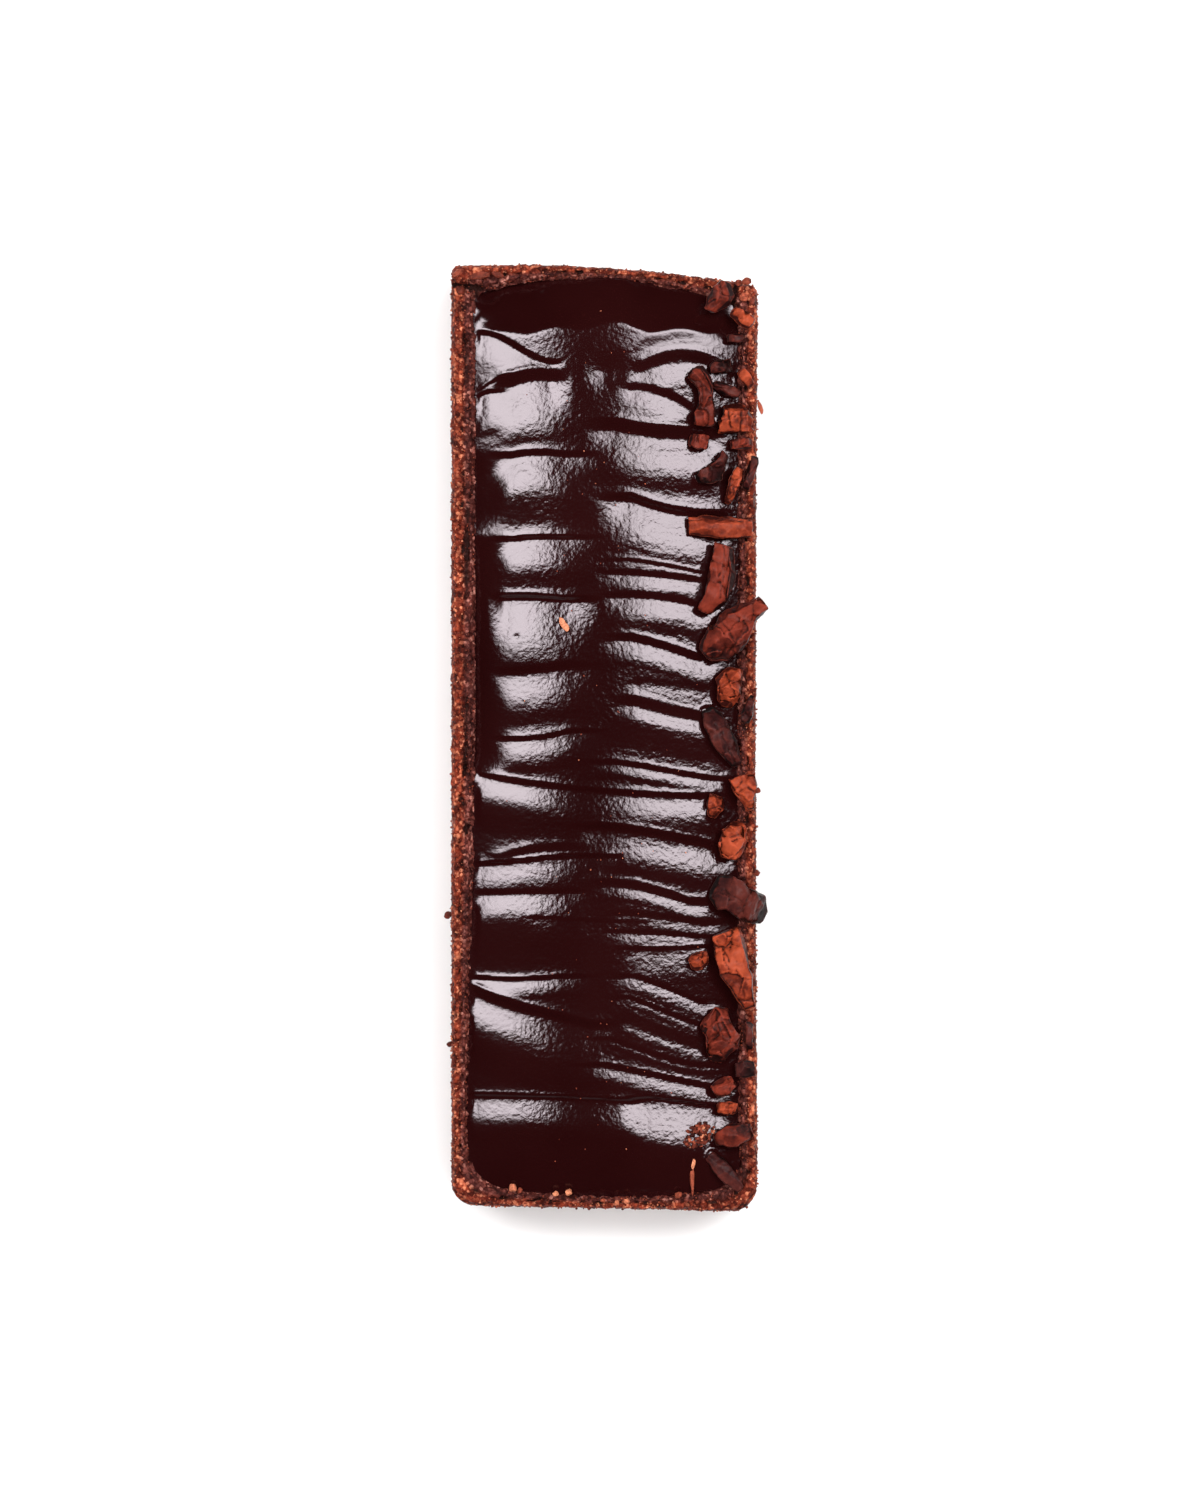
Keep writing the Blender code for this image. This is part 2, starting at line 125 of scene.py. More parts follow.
LEFT_STROKES = (
    Stroke(((-17.4, 53.2), (-14.8, 53.2), (-11.0, 51.2), (-7.0, 49.4)), 0.02, 0.4, 0.8, 4.0, 0.1, (0.6, 2.0), 0.055),
    Stroke(((-17.4, 44.6), (-14.8, 46.6), (-12.6, 47.6)), 0.06, 0.35, 0.3, 0.5, 0.2, (0.6, 2.0)),
    Stroke(((-17.4, 44.2), (-16.2, 45.0), (-15.2, 45.4)), 0.0, 0.3, 0.3, 4.6, 1.2, (0.6, 3.0), 0.05),
    Stroke(((-12.2, 47.7), (-9.4, 48.4), (-7.4, 48.3)), 0.07, 0.35, 2.0, 6.6, 1.6, (3.0, 3.4), 0.07),
    Stroke(((-12.2, 37.3), (-11.0, 37.5), (-5.6, 37.4)), 0.07, 0.35, 0.8, 5.0, 4.8, (3.4, 6.0)),
    Stroke(((-11.8, 26.2), (-9.5, 26.4), (-5.6, 26.4)), 0.12, 0.65, 0.5, 4.2, 2.6, (3.6, 6.0)),
    Stroke(((-12.6, 18.8), (-10.0, 18.8), (-5.6, 18.5)), 0.09, 0.40, 0.8, 8.2, 0.4, (2.8, 6.0), 0.07),
    Stroke(((-11.6, 9.3), (-9.0, 9.5), (-5.0, 10.0)), 0.00, 0.5, 1.2, 4.8, 2.2, (3.8, 6.0), 0.06),
    Stroke(((-11.0, 0.0), (-7.0, 0.4), (-4.6, 1.0)), 0.12, 1.0, 0.35, 3.2, 1.6, (4.5, 6.0), 0.07),
    Stroke(
        ((-17.4, -4.2), (-10.4, -5.5), (-1.7, -6.5), (6.4, -7.1), (13.6, -7.3)),
        0.08, 0.35, 0.7, 3.4, 4.2, (0.6, 2.0), 0.08,
    ),
    Stroke(((-13.4, -15.2), (-9.8, -14.1), (-4.6, -13.8)), 0.09, 0.9, 1.3, 0.1, 0.1),
    Stroke(
        ((-17.4, -16.3), (-11.5, -16.0), (-7.0, -15.5), (-0.2, -15.3)),
        0.09, 0.35, 0.4, 3.8, 0.2, (0.6, 3.0), 0.065,
    ),
    Stroke(
        ((-15.6, -20.0), (-9.0, -19.9), (-4.6, -19.8)), 0.0, 0.5, 0.5, 3.8, 6.4, (1.5, 4.0), 0.08
    ),
    Stroke(((-8.0, -23.4), (-2.0, -23.8), (4.0, -24.0)), 0.0, 0.3, 0.2, 3.2, 0.3, (3.0, 3.0), 0.022),
    Stroke(((-17.4, -31.1), (-10.0, -31.4), (-5.0, -31.0)), 0.10, 0.35, 0.3, 2.2, 0.4, (0.6, 5.0)),
    Stroke(
        ((-17.4, -31.7), (-11.5, -34.2), (-4.8, -36.0), (-2.0, -36.8)),
        0.10, 0.5, 1.3, 5.4, 5.0, (0.6, 5.0),
    ),
    Stroke(((-17.4, -46.6), (-7.0, -46.7), (3.0, -47.2)), 0.08, 0.35, 0.5, 4.6, 1.5, (0.6, 3.0)),
)
RIGHT_STROKES = (
    Stroke(((3.0, 50.8), (6.5, 53.0), (11.0, 54.0)), 0.03, 0.35, 2.0, 0.3, 0.2, (1.5, 2.0), 0.03),
    Stroke(((5.0, 49.4), (10.5, 50.8), (16.5, 48.9)), 0.06, 0.35, 1.9, 3.2, 0.3, (2.0, 2.5), 0.05),
    Stroke(((4.5, 46.4), (8.0, 45.6), (12.4, 43.0)), 0.02, 0.6, 1.2, 3.0, 0.6, (2.0, 3.0), 0.07),
    Stroke(((1.6, 41.9), (5.4, 41.2), (12.5, 40.9)), 0.12, 0.35, 2.0, 5.0, 2.4),
    Stroke(((3.6, 31.9), (7.6, 30.6), (13.4, 29.8)), 0.10, 0.55, 1.1, 5.8, 0.6),
    Stroke(((3.3, 23.4), (6.4, 23.0), (12.6, 21.8)), 0.06, 0.30, 0.5, 0.4, 0.1),
    Stroke(((3.0, 21.9), (8.0, 21.5), (12.8, 20.9)), 0.02, 0.3, 0.7, 1.9, 0.3),
    Stroke(((3.0, 19.0), (8.0, 18.7), (12.4, 17.8)), 0.02, 0.5, 0.8, 3.0, 1.8),
    Stroke(((3.6, 13.6), (7.2, 12.7), (12.4, 11.0)), 0.10, 0.40, 1.0, 2.8, 0.6),
    Stroke(((5.0, 7.9), (8.3, 7.7), (12.8, 6.9)), 0.0, 0.4, 1.0, 1.8, 0.3, (1.5, 3.0), 0.03),
    Stroke(((4.0, 5.6), (8.3, 4.5), (12.8, 3.6)), 0.08, 0.45, 1.6, 2.0, 3.6, (1.5, 4.0), 0.10),
    Stroke(((1.4, -2.9), (4.2, -3.3), (8.8, -4.1), (14.8, -5.1)), 0.08, 0.35, 0.6, 1.4, 0.6),
    Stroke(
        ((-0.4, -11.1), (4.2, -11.6), (8.8, -12.4), (14.4, -13.5)), 0.07, 0.30, 1.0, 4.4, 1.4
    ),
    Stroke(((1.6, -18.4), (4.2, -18.8), (7.6, -19.6), (11.4, -20.9)), 0.07, 0.30, 1.1, 1.6, 0.4),
    Stroke(((3.6, -22.5), (8.0, -23.0), (13.0, -23.8)), 0.03, 0.4, 0.8, 1.4, 0.3, (2.5, 5.0), 0.05),
    Stroke(((3.6, -25.3), (8.0, -25.5), (12.4, -25.9)), 0.02, 0.4, 0.2, 2.0, 0.1, (2.5, 5.0), 0.06),
    Stroke(((5.6, -27.5), (9.0, -27.5), (13.2, -27.2)), 0.03, 0.3, 0.2, 4.4, 0.3, (3.5, 5.0), 0.05),
    Stroke(((4.0, -31.0), (8.0, -32.4), (12.6, -34.4)), 0.01, 0.4, 0.3, 2.0, 0.2, (2.0, 5.0), 0.075),
    Stroke(((3.4, -33.8), (8.0, -35.6), (12.2, -37.3)), 0.05, 0.5, 0.3, 1.0, 0.1, (1.5, 4.0), 0.06),
    Stroke(((3.0, -35.6), (7.5, -37.4), (12.4, -39.0)), 0.03, 0.3, 1.8, 1.2, 2.0, (2.0, 4.0), 0.06),
    Stroke(((0.6, -39.1), (4.2, -40.3), (8.8, -41.8), (12.4, -42.6)), 0.07, 0.9, 0.5, 0.6, 0.4),
    Stroke(((0.0, -42.5), (4.2, -43.3), (8.8, -44.3), (14.2, -45.4)), 0.08, 0.35, 0.5, 2.4, 0.1),
    Stroke(
        ((6.0, -46.9), (9.0, -47.3), (13.4, -48.0)), 0.01, 0.4, 0.3, 8.0, 3.0, (3.0, 4.0), 0.10
    ),
)


class Flank(NamedTuple):
    """A length of the ganache's side that falls to the wall more steeply."""

    side: int  # -1 for the left one
    near: float
    far: float
    depth: float


FLANK_WIDTH = 6.5
FLANK_FADE = 2.0
FLANKS = (Flank(-1, 27.5, 36.0, 0.35), Flank(-1, -4.0, 25.0, 0.55), Flank(1, 53.0, 59.0, 0.9))


class Dent(NamedTuple):
    """A round hollow, or with a negative depth a round bump."""

    x: float
    y: float
    radius: float
    depth: float


DENTS = (
    Dent(-15.6, 58.2, 1.5, 0.9),
    Dent(0.2, 47.6, 2.1, 0.28),
    Dent(-11.5, 13.1, 0.3, 0.07),
)


def blend(low, high, value):
    """0 up to low, 1 from high, and a smooth step between them."""
    share = np.clip((value - low) / (high - low), 0.0, 1.0)
    return share * share * (3.0 - 2.0 * share)


def noise_at(points, size, octaves=3, seed=0.0):
    """Smooth noise, about -1 to 1, whose largest lumps measure size."""
    scale = 1.0 / size
    return np.array([
        noise.fractal((x * scale + seed, y * scale - seed, z * scale), 1.0, 2.0, octaves)
        for x, y, z in points
    ])


def cells_at(points, size, seed=0.0):
    """Distances to the nearest and the second-nearest of points strewn at random."""
    scale = 1.0 / size
    found = [
        noise.voronoi((x * scale + seed, y * scale, z * scale))[0][:2] for x, y, z in points
    ]
    return np.array(found)


def broken_faces(points, size, seed):
    """Heights and tones of flat faces, each around one of many points strewn at random."""
    heights, tones = np.zeros(len(points)), np.zeros(len(points))
    for index, point in enumerate(points / size + seed):
        middle = noise.voronoi(point)[1][0]
        lie = noise.noise_vector(middle * FACE_SPREAD)
        heights[index] = FACE_TILT * size * lie.dot(Vector(point) - middle) + FACE_STEP * lie.z
        tones[index] = lie.x
    return heights, tones


# ---- Outlines, seen from above


def rounded_rectangle(left, right, near, far, radii, counts):
    """Points anticlockwise from the right side's near end, the same number for any size."""
    corner_steps, long_steps, short_steps = counts
    corners = (
        (right, far, -1, -1, 0),
        (left, far, 1, -1, 90),
        (left, near, 1, 1, 180),
        (right, near, -1, 1, 270),
    )
    arcs = []
    for (x, y, to_x, to_y, start), radius in zip(corners, radii):
        turns = np.radians(start + 90 * np.arange(corner_steps + 1) / corner_steps)
        centre = np.array((x + to_x * radius, y + to_y * radius))
        arcs.append(centre + radius * np.stack((np.cos(turns), np.sin(turns)), axis=1))
    points = []
    for arc, following, steps in zip(
        arcs, arcs[1:] + arcs[:1], (short_steps, long_steps) * 2
    ):
        shares = np.arange(1, steps)[:, None] / steps
        points += [arc, arc[-1] + (following[0] - arc[-1]) * shares]
    return np.concatenate(points)


def baked_shape(x, y):
    """Moves a point of the plain rectangle to where the slightly uneven baked crust has it."""
    along = 2.0 * y / LENGTH
    far_end = 0.1 - 0.0027 * ((x + 12.0) ** 2)
    near_end = 0.02 - 0.022 * x
    y = y + blend(0.8, 1.0, along) * far_end + blend(0.8, 1.0, -along) * near_end
    drawn_in = 0.25 * (1.0 - np.minimum(along**2, 1.0))
    return x - drawn_in * blend(0.0, 10.0, x), y


LEFT_THINNING = 0.9  # how much thinner the left wall's top gets towards the near end
FLAP_DEPTH = 0.15  # how far the far left corner's crumbly flap hangs over the ganache
FLAP_END = -12.4


def inner_shape(x, y):
    """As baked_shape, for the inner face, where the end walls thicken towards the corners."""
    extra = END_WALL_GAIN * (x / END_WALL_REACH) ** 2
    extra = extra + FLAP_DEPTH * (y > 0) * (1.0 - blend(FLAP_END - 0.8, FLAP_END + 0.8, x))
    y = y - np.sign(y) * extra * blend(FAR - 9.0, FAR, np.abs(y))
    x = x - LEFT_THINNING * blend(5.0, 42.0, -y) * blend(0.0, 14.0, -x)
    return baked_shape(x, y)


def rim_wave(x, y):
    """How far the rim stands above its nominal height: a slow wave, and the chips in it."""
    wave = RIM_WAVE * np.sin(0.23 * y + 0.11 * x) * np.cos(0.061 * y - 0.2 * x)
    for dip_x, dip_y, reach, depth in RIM_DIPS:
        wave = wave - depth * np.exp(-((x - dip_x) ** 2 + (y - dip_y) ** 2) / reach**2)
    return wave


# ---- Heights of the ganache


def lip_line(path, x):
    """Y of a stroke's lip at x: a smooth line through the points of its path."""
    xs, ys = np.array(path).T
    total = np.zeros_like(x)
    for index, y in enumerate(ys):
        others = np.delete(xs, index)
        total += y * np.prod([(x - other) / (xs[index] - other) for other in others], axis=0)
    return total


def stroke_height(stroke, x, y):
    """The curl up to the lip, the steep face under it, then a climb and a gentle fall."""
    first, last = stroke.path[0][0], stroke.path[-1][0]
    past = lip_line(stroke.path, np.clip(x, first, last)) - y
    climbed = stroke.slope * stroke.climb
    peak = min(FALL_SLOPE * stroke.fall, DEEPEST_FALL * climbed)
    dip = climbed - peak
    curl = stroke.lip * np.exp(np.minimum(past, 0.0) / stroke.curl)
    face = stroke.lip - (stroke.lip + dip) * blend(0.0, stroke.drop, past)
    up = np.clip((past - stroke.drop) / stroke.climb, 0.0, 1.0)
    down = np.clip((past - stroke.drop - stroke.climb) / stroke.fall, 0.0, 1.0)
    wave = -dip + climbed * (1.0 - np.cos(math.pi * up**CLIMB_EASE)) / 2 - peak * blend(0.0, 1.0, down)
    height = np.where(past < 0.0, curl, np.where(past < stroke.drop, face, wave))
    before, after = stroke.fade
    if first > -last:
        before, after = after, before
        last = last + NIB_REACH
    there = blend(first - before, first, x) * (1.0 - blend(last, last + after, x))
    return height * there


def far_rise(to_end):
    """How much of the crown is reached near the far wall: a slope that ends in a knee."""
    start = np.clip(to_end, 0.0, FAR_BEND) / END_FALL
    rise = 1.0 - (1.0 - start) ** 2 + np.maximum(to_end - FAR_BEND, 0.0) * FAR_SLOPE / CROWN
    past = (rise - 1.0) / FAR_KNEE
    return rise - FAR_KNEE * np.logaddexp(0.0, past)


def ganache_height(x, y):
    """Height of the ganache: a long crown, the knife strokes across it, and its dents."""
    middle, half_width = (LEFT + RIGHT) / 2, (RIGHT - LEFT) / 2
    across = np.minimum(np.abs(x - middle) / half_width, PAST_EDGE)
    to_end = np.minimum(y - NEAR, FAR - y)
    end = np.clip(1.0 - to_end / (END_FALL - LATE_FALL * blend(-2.0, 9.0, x)), 0.0, 1.0)
    crown = CROWN * (1.0 - across**CROWN_POWER) * (1.0 - end**2)
    far_end = FAR - y + FAR_WAVE * np.sin(0.55 * x + 0.8) * np.cos(0.21 * x - 0.5)
    far_end = far_end - FAR_LEFT * (1.0 - blend(-15.5, -11.0, x))
    far_crown = 1.0 - across**CROWN_POWER - (1.0 - across**FAR_POWER) * (1.0 - far_rise(far_end))
    crown = np.where(y > 0, CROWN * far_crown, crown)
    strokes = sum(stroke_height(stroke, x, y) for stroke in LEFT_STROKES + RIGHT_STROKES)
    strokes *= 1.0 - blend(0.95, 1.0, across)
    strokes *= blend(0.0, 0.8 * END_FALL, to_end)
    height = FILL_EDGE + crown + strokes
    for flank in FLANKS:
        to_wall = np.clip(1.0 - (half_width - flank.side * (x - middle)) / FLANK_WIDTH, 0.0, 1.0)
        there = blend(flank.near - FLANK_FADE, flank.near + FLANK_FADE, y)
        there = there * (1.0 - blend(flank.far - FLANK_FADE, flank.far + FLANK_FADE, y))
        height = height - flank.depth * to_wall**2 * there
    for dent in DENTS:
        distance = (x - dent.x) ** 2 + (y - dent.y) ** 2
        height = height - dent.depth * np.exp(-distance / dent.radius**2)
    return height


# ---- Meshes


def piece_from(name, points, faces, material, smooth=True):
    """A closed mesh piece from points in millimetres, riding on the tart."""
    mesh = bpy.data.meshes.new(name)
    mesh.from_pydata((np.asarray(points) * MM).tolist(), [], faces)
    mesh.materials.append(material)
    if smooth:
        mesh.shade_smooth()
    made = bpy.data.objects.new(name, mesh)
    bpy.context.scene.collection.objects.link(made)
    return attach(made, "root")


def add_attribute(piece, name, values):
    attribute = piece.data.attributes.new(name, "FLOAT", "POINT")
    attribute.data.foreach_set("value", np.asarray(values, np.float32))


def corner_inset(radius, to_end):
    """How far a rounded corner draws a row in, at a distance from the end."""
    return radius - np.sqrt(radius**2 - np.clip(radius - to_end, 0.0, radius) ** 2)


def meniscus(flat, z, contacts):
    """How far the ganache climbs where a nib dips into it."""
    climb = np.zeros(z.size)
    tree = kdtree.KDTree(len(contacts))
    for index, place in enumerate(contacts):
        tree.insert((place[0], place[1], 0.0), index)
    tree.balance()
    near_nibs = np.flatnonzero(flat[:, 0] > contacts[:, 0].min() - 2.0)
    for index in near_nibs:
        distance = tree.find(flat[index])[2]
        climb[index] = MENISCUS * math.exp(-((distance / MENISCUS_REACH) ** 2))
    return climb.reshape(z.shape)


def make_ganache(material, contacts):
    """A fine grid over the tray's inside, with straight sides and a flat base."""
    rows = round((FAR - NEAR) / GANACHE_STEP)
    columns = round((RIGHT - LEFT) / GANACHE_STEP)
    far_right, far_left, near_left, near_right = INNER_RADII
    plain_y = np.linspace(NEAR - TUCK, FAR + TUCK, rows + 1)
    to_end = np.maximum(np.minimum(plain_y - NEAR, FAR - plain_y) + TUCK, 0.0)
    beyond = plain_y > 0
    low = LEFT - TUCK + corner_inset(np.where(beyond, far_left, near_left), to_end)
    high = RIGHT + TUCK - corner_inset(np.where(beyond, far_right, near_right), to_end)
    shares = np.linspace(0.0, 1.0, columns + 1)
    x = low[:, None] + (high - low)[:, None] * shares
    plain = x
    x, y = inner_shape(x, np.repeat(plain_y[:, None], columns + 1, axis=1))
    z = ganache_height(plain, y)
    flat = np.stack((x.ravel(), y.ravel(), np.zeros(x.size)), axis=1)
    ripple = noise_at(flat, 1.3, octaves=2, seed=3.1).reshape(z.shape)
    sparkle = noise_at(flat, 0.55, octaves=1, seed=8.2).reshape(z.shape)
    blotch = noise_at(flat, 2.0, octaves=2, seed=5.7).reshape(z.shape)
    patches = noise_at(flat, 4.0, octaves=2, seed=1.7).reshape(z.shape)
    roughness = CALM + (1.0 - CALM) * blend(-13.0, -8.0, x + 3.0 * patches)
    far_calm = 1.0 - FAR_CALM * blend(49.5, 51.5, y) * blend(3.0, 6.0, x)
    roughness = roughness * far_calm
    z = z + roughness * (RIPPLE * ripple + SPARKLE * sparkle) + meniscus(flat, z, contacts)
    z = z + BLOTCH * far_calm * blotch * blend(1.0, 5.0, x)
    top = np.stack((x, y, z), axis=2)
    points = top.reshape(-1, 3).tolist()
    width = columns + 1
    faces = [
        (row * width + col, row * width + col + 1, (row + 1) * width + col + 1,
         (row + 1) * width + col)
        for row in range(rows)
        for col in range(columns)
    ]
    border = (
        list(range(width))
        + [row * width + columns for row in range(1, rows)]
        + [rows * width + col for col in range(columns, -1, -1)]
        + [row * width for row in range(rows - 1, 0, -1)]
    )
    base_start = len(points)
    points += [(points[index][0], points[index][1], ganache_low.z) for index in border]
    count = len(border)
    for step in range(count):
        after = (step + 1) % count
        faces.append((border[after], border[step], base_start + step, base_start + after))
    faces.append(tuple(base_start + step for step in range(count - 1, -1, -1)))
    ganache = piece_from("ganache_spread", points, faces, material)
    add_attribute(ganache, "rough", np.append(roughness.ravel(), np.zeros(count)))
    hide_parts("ganache")
    return ganache


class Groove(NamedTuple):
    """A crack in the rim, between two points, as wide and as deep as given."""

    start: tuple
    end: tuple
    width: float
    depth: float


GROOVES = (
    Groove((-20.2, 59.2), (-16.2, 58.7), 0.28, 1.1),
    Groove((-16.9, 58.5), (-16.0, 55.4), 0.30, 0.7),
    Groove((-18.2, 52.0), (-18.0, 46.5), 0.30, 0.5),
    Groove((-17.9, 30.0), (-18.1, 20.0), 0.30, 0.6),
    Groove((-18.0, 5.0), (-18.2, -4.0), 0.26, 0.6),
    Groove((17.2, 59.0), (16.6, 56.4), 0.35, 0.9),
    Groove((16.5, -55.5), (19.0, -57.0), 0.30, 0.6),
)


def groove_depth(points):
    """How deep the rim's cracks are at each point."""
    depth = np.zeros(len(points))
    for groove in GROOVES:
        start, end = np.array(groove.start), np.array(groove.end)
        along = end - start
        share = np.clip(((points[:, :2] - start) @ along) / (along @ along), 0.0, 1.0)
        away = np.linalg.norm(points[:, :2] - start - share[:, None] * along, axis=1)
        depth = np.maximum(depth, groove.depth * np.exp(-((away / groove.width) ** 2)))
    return depth


def make_crust(material):
    """The tray, with a grainy outer face and a ragged rim that has a crease along it."""
    counts = (10, round(LENGTH / CRUST_STEP), round(WIDTH / CRUST_STEP))
    half_width = WIDTH / 2
    outer = rounded_rectangle(
        -half_width, half_width, -LENGTH / 2, LENGTH / 2, OUTER_RADII, counts
    )
    outer = np.stack(baked_shape(outer[:, 0], outer[:, 1]), axis=1)
    inner = rounded_rectangle(LEFT, RIGHT, NEAR, FAR, INNER_RADII, counts)
    inner = np.stack(inner_shape(inner[:, 0], inner[:, 1]), axis=1)
    count = len(outer)
    along = np.stack((outer[:, 0], outer[:, 1], np.zeros(count)), axis=1)
    wave = rim_wave(outer[:, 0], outer[:, 1])
    ragged = noise_at(along, 2.2, seed=5.0)
    crease_depth = np.clip(0.10 + 1.7 * noise_at(along, 2.0, seed=9.0), 0.0, 0.9)
    crease_place = 0.50 + 0.16 * noise_at(along, 3.6, seed=1.0)
    nothing = np.zeros(count)
    top = RIM + wave
    foot_round = 0.5
    rings, rims, creases = [], [], []

    def add_ring(share, height, rim, crease):
        rings.append(np.column_stack((outer + (inner - outer) * share, height)))
        rims.append(np.full(count, rim))
        creases.append(crease)

    add_ring(0.10, nothing, 0.0, nothing)
    for height in np.linspace(foot_round, RIM - 0.8, round(RIM / WALL_STEP)):
        add_ring(0.0, height + wave * (height / RIM) ** 3, 0.0, nothing)
    for share in np.linspace(0.05, 1.0, RIM_RINGS):
        outer_round = -0.6 * (1.0 - blend(0.0, 0.18, share))
        inner_round = -0.70 * blend(0.72, 1.0, share)
        step_down = -0.25 * blend(0.42, 0.58, share)
        gap = crease_depth * np.exp(-(((share - crease_place) / 0.06) ** 2))
        lumps = 0.40 * ragged * (1.0 - share)
        add_ring(share, top + outer_round + inner_round + step_down + lumps - gap, share, gap)
    for height in np.linspace(RIM - 1.5, ganache_low.z, 6):
        add_ring(1.0, nothing + height, 1.0, nothing)

    points = np.concatenate(rings)
    grooves = groove_depth(points) * (np.concatenate(rims) > 0.0)
    points[:, 2] -= grooves
    faces = []
    for ring in range(len(rings) - 1):
        for step in range(count):
            after = (step + 1) % count
            low, high = ring * count, (ring + 1) * count
            faces.append((low + step, low + after, high + after, high + step))
    faces.append(tuple(range(count - 1, -1, -1)))
    last = (len(rings) - 1) * count
    faces.append(tuple(last + step for step in range(count)))
    crust = piece_from("crust_baked", points, faces, material)
    crumble(crust, points)
    add_attribute(crust, "rim", np.concatenate(rims))
    # the sunk crease and cracks, which the crust material darkens as painted shade
    add_attribute(crust, "crease", np.maximum(np.concatenate(creases), grooves))
    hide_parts("crust")
    return crust


def points_and_normals(mesh):
    """A mesh's points in millimetres and their normals, as arrays."""
    count = len(mesh.vertices)
    points, normals = np.zeros(count * 3), np.zeros(count * 3)
    mesh.vertices.foreach_get("co", points)
    mesh.vertices.foreach_get("normal", normals)
    return points.reshape(-1, 3) / MM, normals.reshape(-1, 3)


def crumble(crust, points):
    """Pushes the crust's points in and out along its faces, as sandy pastry is uneven."""
    mesh = crust.data
    normals = points_and_normals(mesh)[1]
    lumps = 0.14 * noise_at(points, 2.4, octaves=2, seed=2.0)
    grains = noise_at(points, 0.6, octaves=2, seed=7.0)
    cells = cells_at(points + 0.2 * grains[:, None], 0.7)
    pits = -0.22 * blend(0.50, 0.80, cells[:, 0])
    shift = (lumps + 0.18 * grains + pits) * blend(0.0, 0.8, points[:, 2])
    moved = points + normals * shift[:, None]
    moved[:, 2] = np.maximum(moved[:, 2], 0.0)
    mesh.vertices.foreach_set("co", (moved * MM).ravel())
    # the mask of the pits pressed into the crust, which the crust material darkens as painted shade
    add_attribute(crust, "painted_pit_shade", blend(0.45, 0.75, cells[:, 0]))


class Crumb(NamedTuple):
    x: float
    y: float
    z: float
    size: tuple  # half its length, width and height
    turn: float  # of its length, in degrees from +X
    tone: float  # 0 for the darkest and 1 for the lightest


LARGE_CRUMBS = (
    # fallen on the near wall
    Crumb(-12.0, -58.9, 20.2, (0.55, 0.50, 0.45), 20, 0.9),
    Crumb(-11.1, -59.3, 20.1, (0.40, 0.30, 0.30), 70, 0.6),
    Crumb(-6.4, -59.7, 20.1, (0.40, 0.35, 0.35), 0, 1.0),
    Crumb(-4.7, -59.5, 20.2, (0.45, 0.42, 0.40), 40, 1.0),
    Crumb(-0.2, -60.6, 20.0, (0.35, 0.30, 0.30), 10, 0.8),
    Crumb(1.6, -60.9, 20.0, (0.38, 0.30, 0.30), 60, 0.9),
    Crumb(2.9, -60.7, 20.0, (0.42, 0.34, 0.30), 0, 0.9),
    Crumb(9.6, -59.9, 20.0, (0.50, 0.40, 0.35), 30, 0.7),
    # pressed to the walls outside
    Crumb(20.4, 43.1, 18.6, (0.85, 0.28, 0.30), 110, 0.8),
    Crumb(-20.5, -23.3, 18.2, (0.55, 0.45, 0.45), 30, 0.3),
    Crumb(19.9, -7.0, 18.6, (0.45, 0.40, 0.40), 0, 0.5),
    Crumb(19.9, -17.8, 18.4, (0.45, 0.40, 0.40), 80, 0.4),
    Crumb(-20.2, -40.3, 17.6, (0.45, 0.40, 0.40), 10, 0.2),
    # on the far left corner and its flap
    Crumb(-18.9, 58.3, 19.7, (0.75, 0.60, 0.55), 100, 0.35),
    Crumb(-19.3, 60.6, 19.9, (0.80, 0.40, 0.40), 30, 0.6),
    Crumb(-16.4, 60.3, 20.1, (1.50, 0.40, 0.30), 8, 0.5),
    Crumb(-13.9, 60.4, 20.0, (0.80, 0.35, 0.30), -20, 0.4),
    Crumb(18.6, 59.6, 20.2, (0.60, 0.50, 0.40), 10, 0.6),
    Crumb(17.5, 59.4, 20.0, (0.45, 0.45, 0.40), 60, 0.5),
    Crumb(18.2, 57.5, 20.0, (0.55, 0.60, 0.40), 0, 0.8),
    Crumb(19.3, 57.0, 20.0, (0.40, 0.45, 0.35), 0, 0.5),
    # on the ganache: a flake and a splinter
    Crumb(-5.3, 14.7, 21.75, (0.95, 0.42, 0.16), -55, 1.0),
    Crumb(11.45, -57.4, 20.0, (2.20, 0.30, 0.35), 90, 0.7),
    Crumb(11.6, -55.7, 20.4, (0.80, 0.24, 0.22), 80, 1.0),
)
WALL_GRAINS = 2800
RIM_GRAINS = 3000
SPECKS = 90
HEAP = (12.4, -52.0, 1.9, 1.6)  # X, Y and the spread of the heap of crumbs between the nibs
HEAP_CRUMBS = 130


def crumb_shape(bumps, seed):
    """Points and faces of a lump about 1 in radius."""
    form = bmesh.new()
    bmesh.ops.create_icosphere(form, subdivisions=bumps, radius=1.0)
    points = np.array([v.co for v in form.verts])
    faces = np.array([[v.index for v in face.verts] for face in form.faces])
    form.free()
    return points * (1.0 + 0.35 * noise_at(points, 1.1, octaves=2, seed=seed))[:, None], faces


def turned(points, dice):
    """Points turned about a random axis."""
    axis = Vector((dice.gauss(0, 1), dice.gauss(0, 1), dice.gauss(0, 1))).normalized()
    turn = Quaternion(axis, dice.uniform(0, math.tau)).to_matrix()
    return points @ np.array(turn).T


def make_crumbs(name, lumps, material):
    """One piece of many lumps: each has its points, its faces and its tone."""
    points, faces, tones, start = [], [], [], 0
    for lump_points, lump_faces, tone in lumps:
        points.append(lump_points)
        faces.append(lump_faces + start)
        tones.append(np.full(len(lump_points), tone))
        start += len(lump_points)
    piece = piece_from(
        name, np.concatenate(points), np.concatenate(faces).tolist(), material, smooth=False
    )
    add_attribute(piece, "tone", np.concatenate(tones))
    return piece


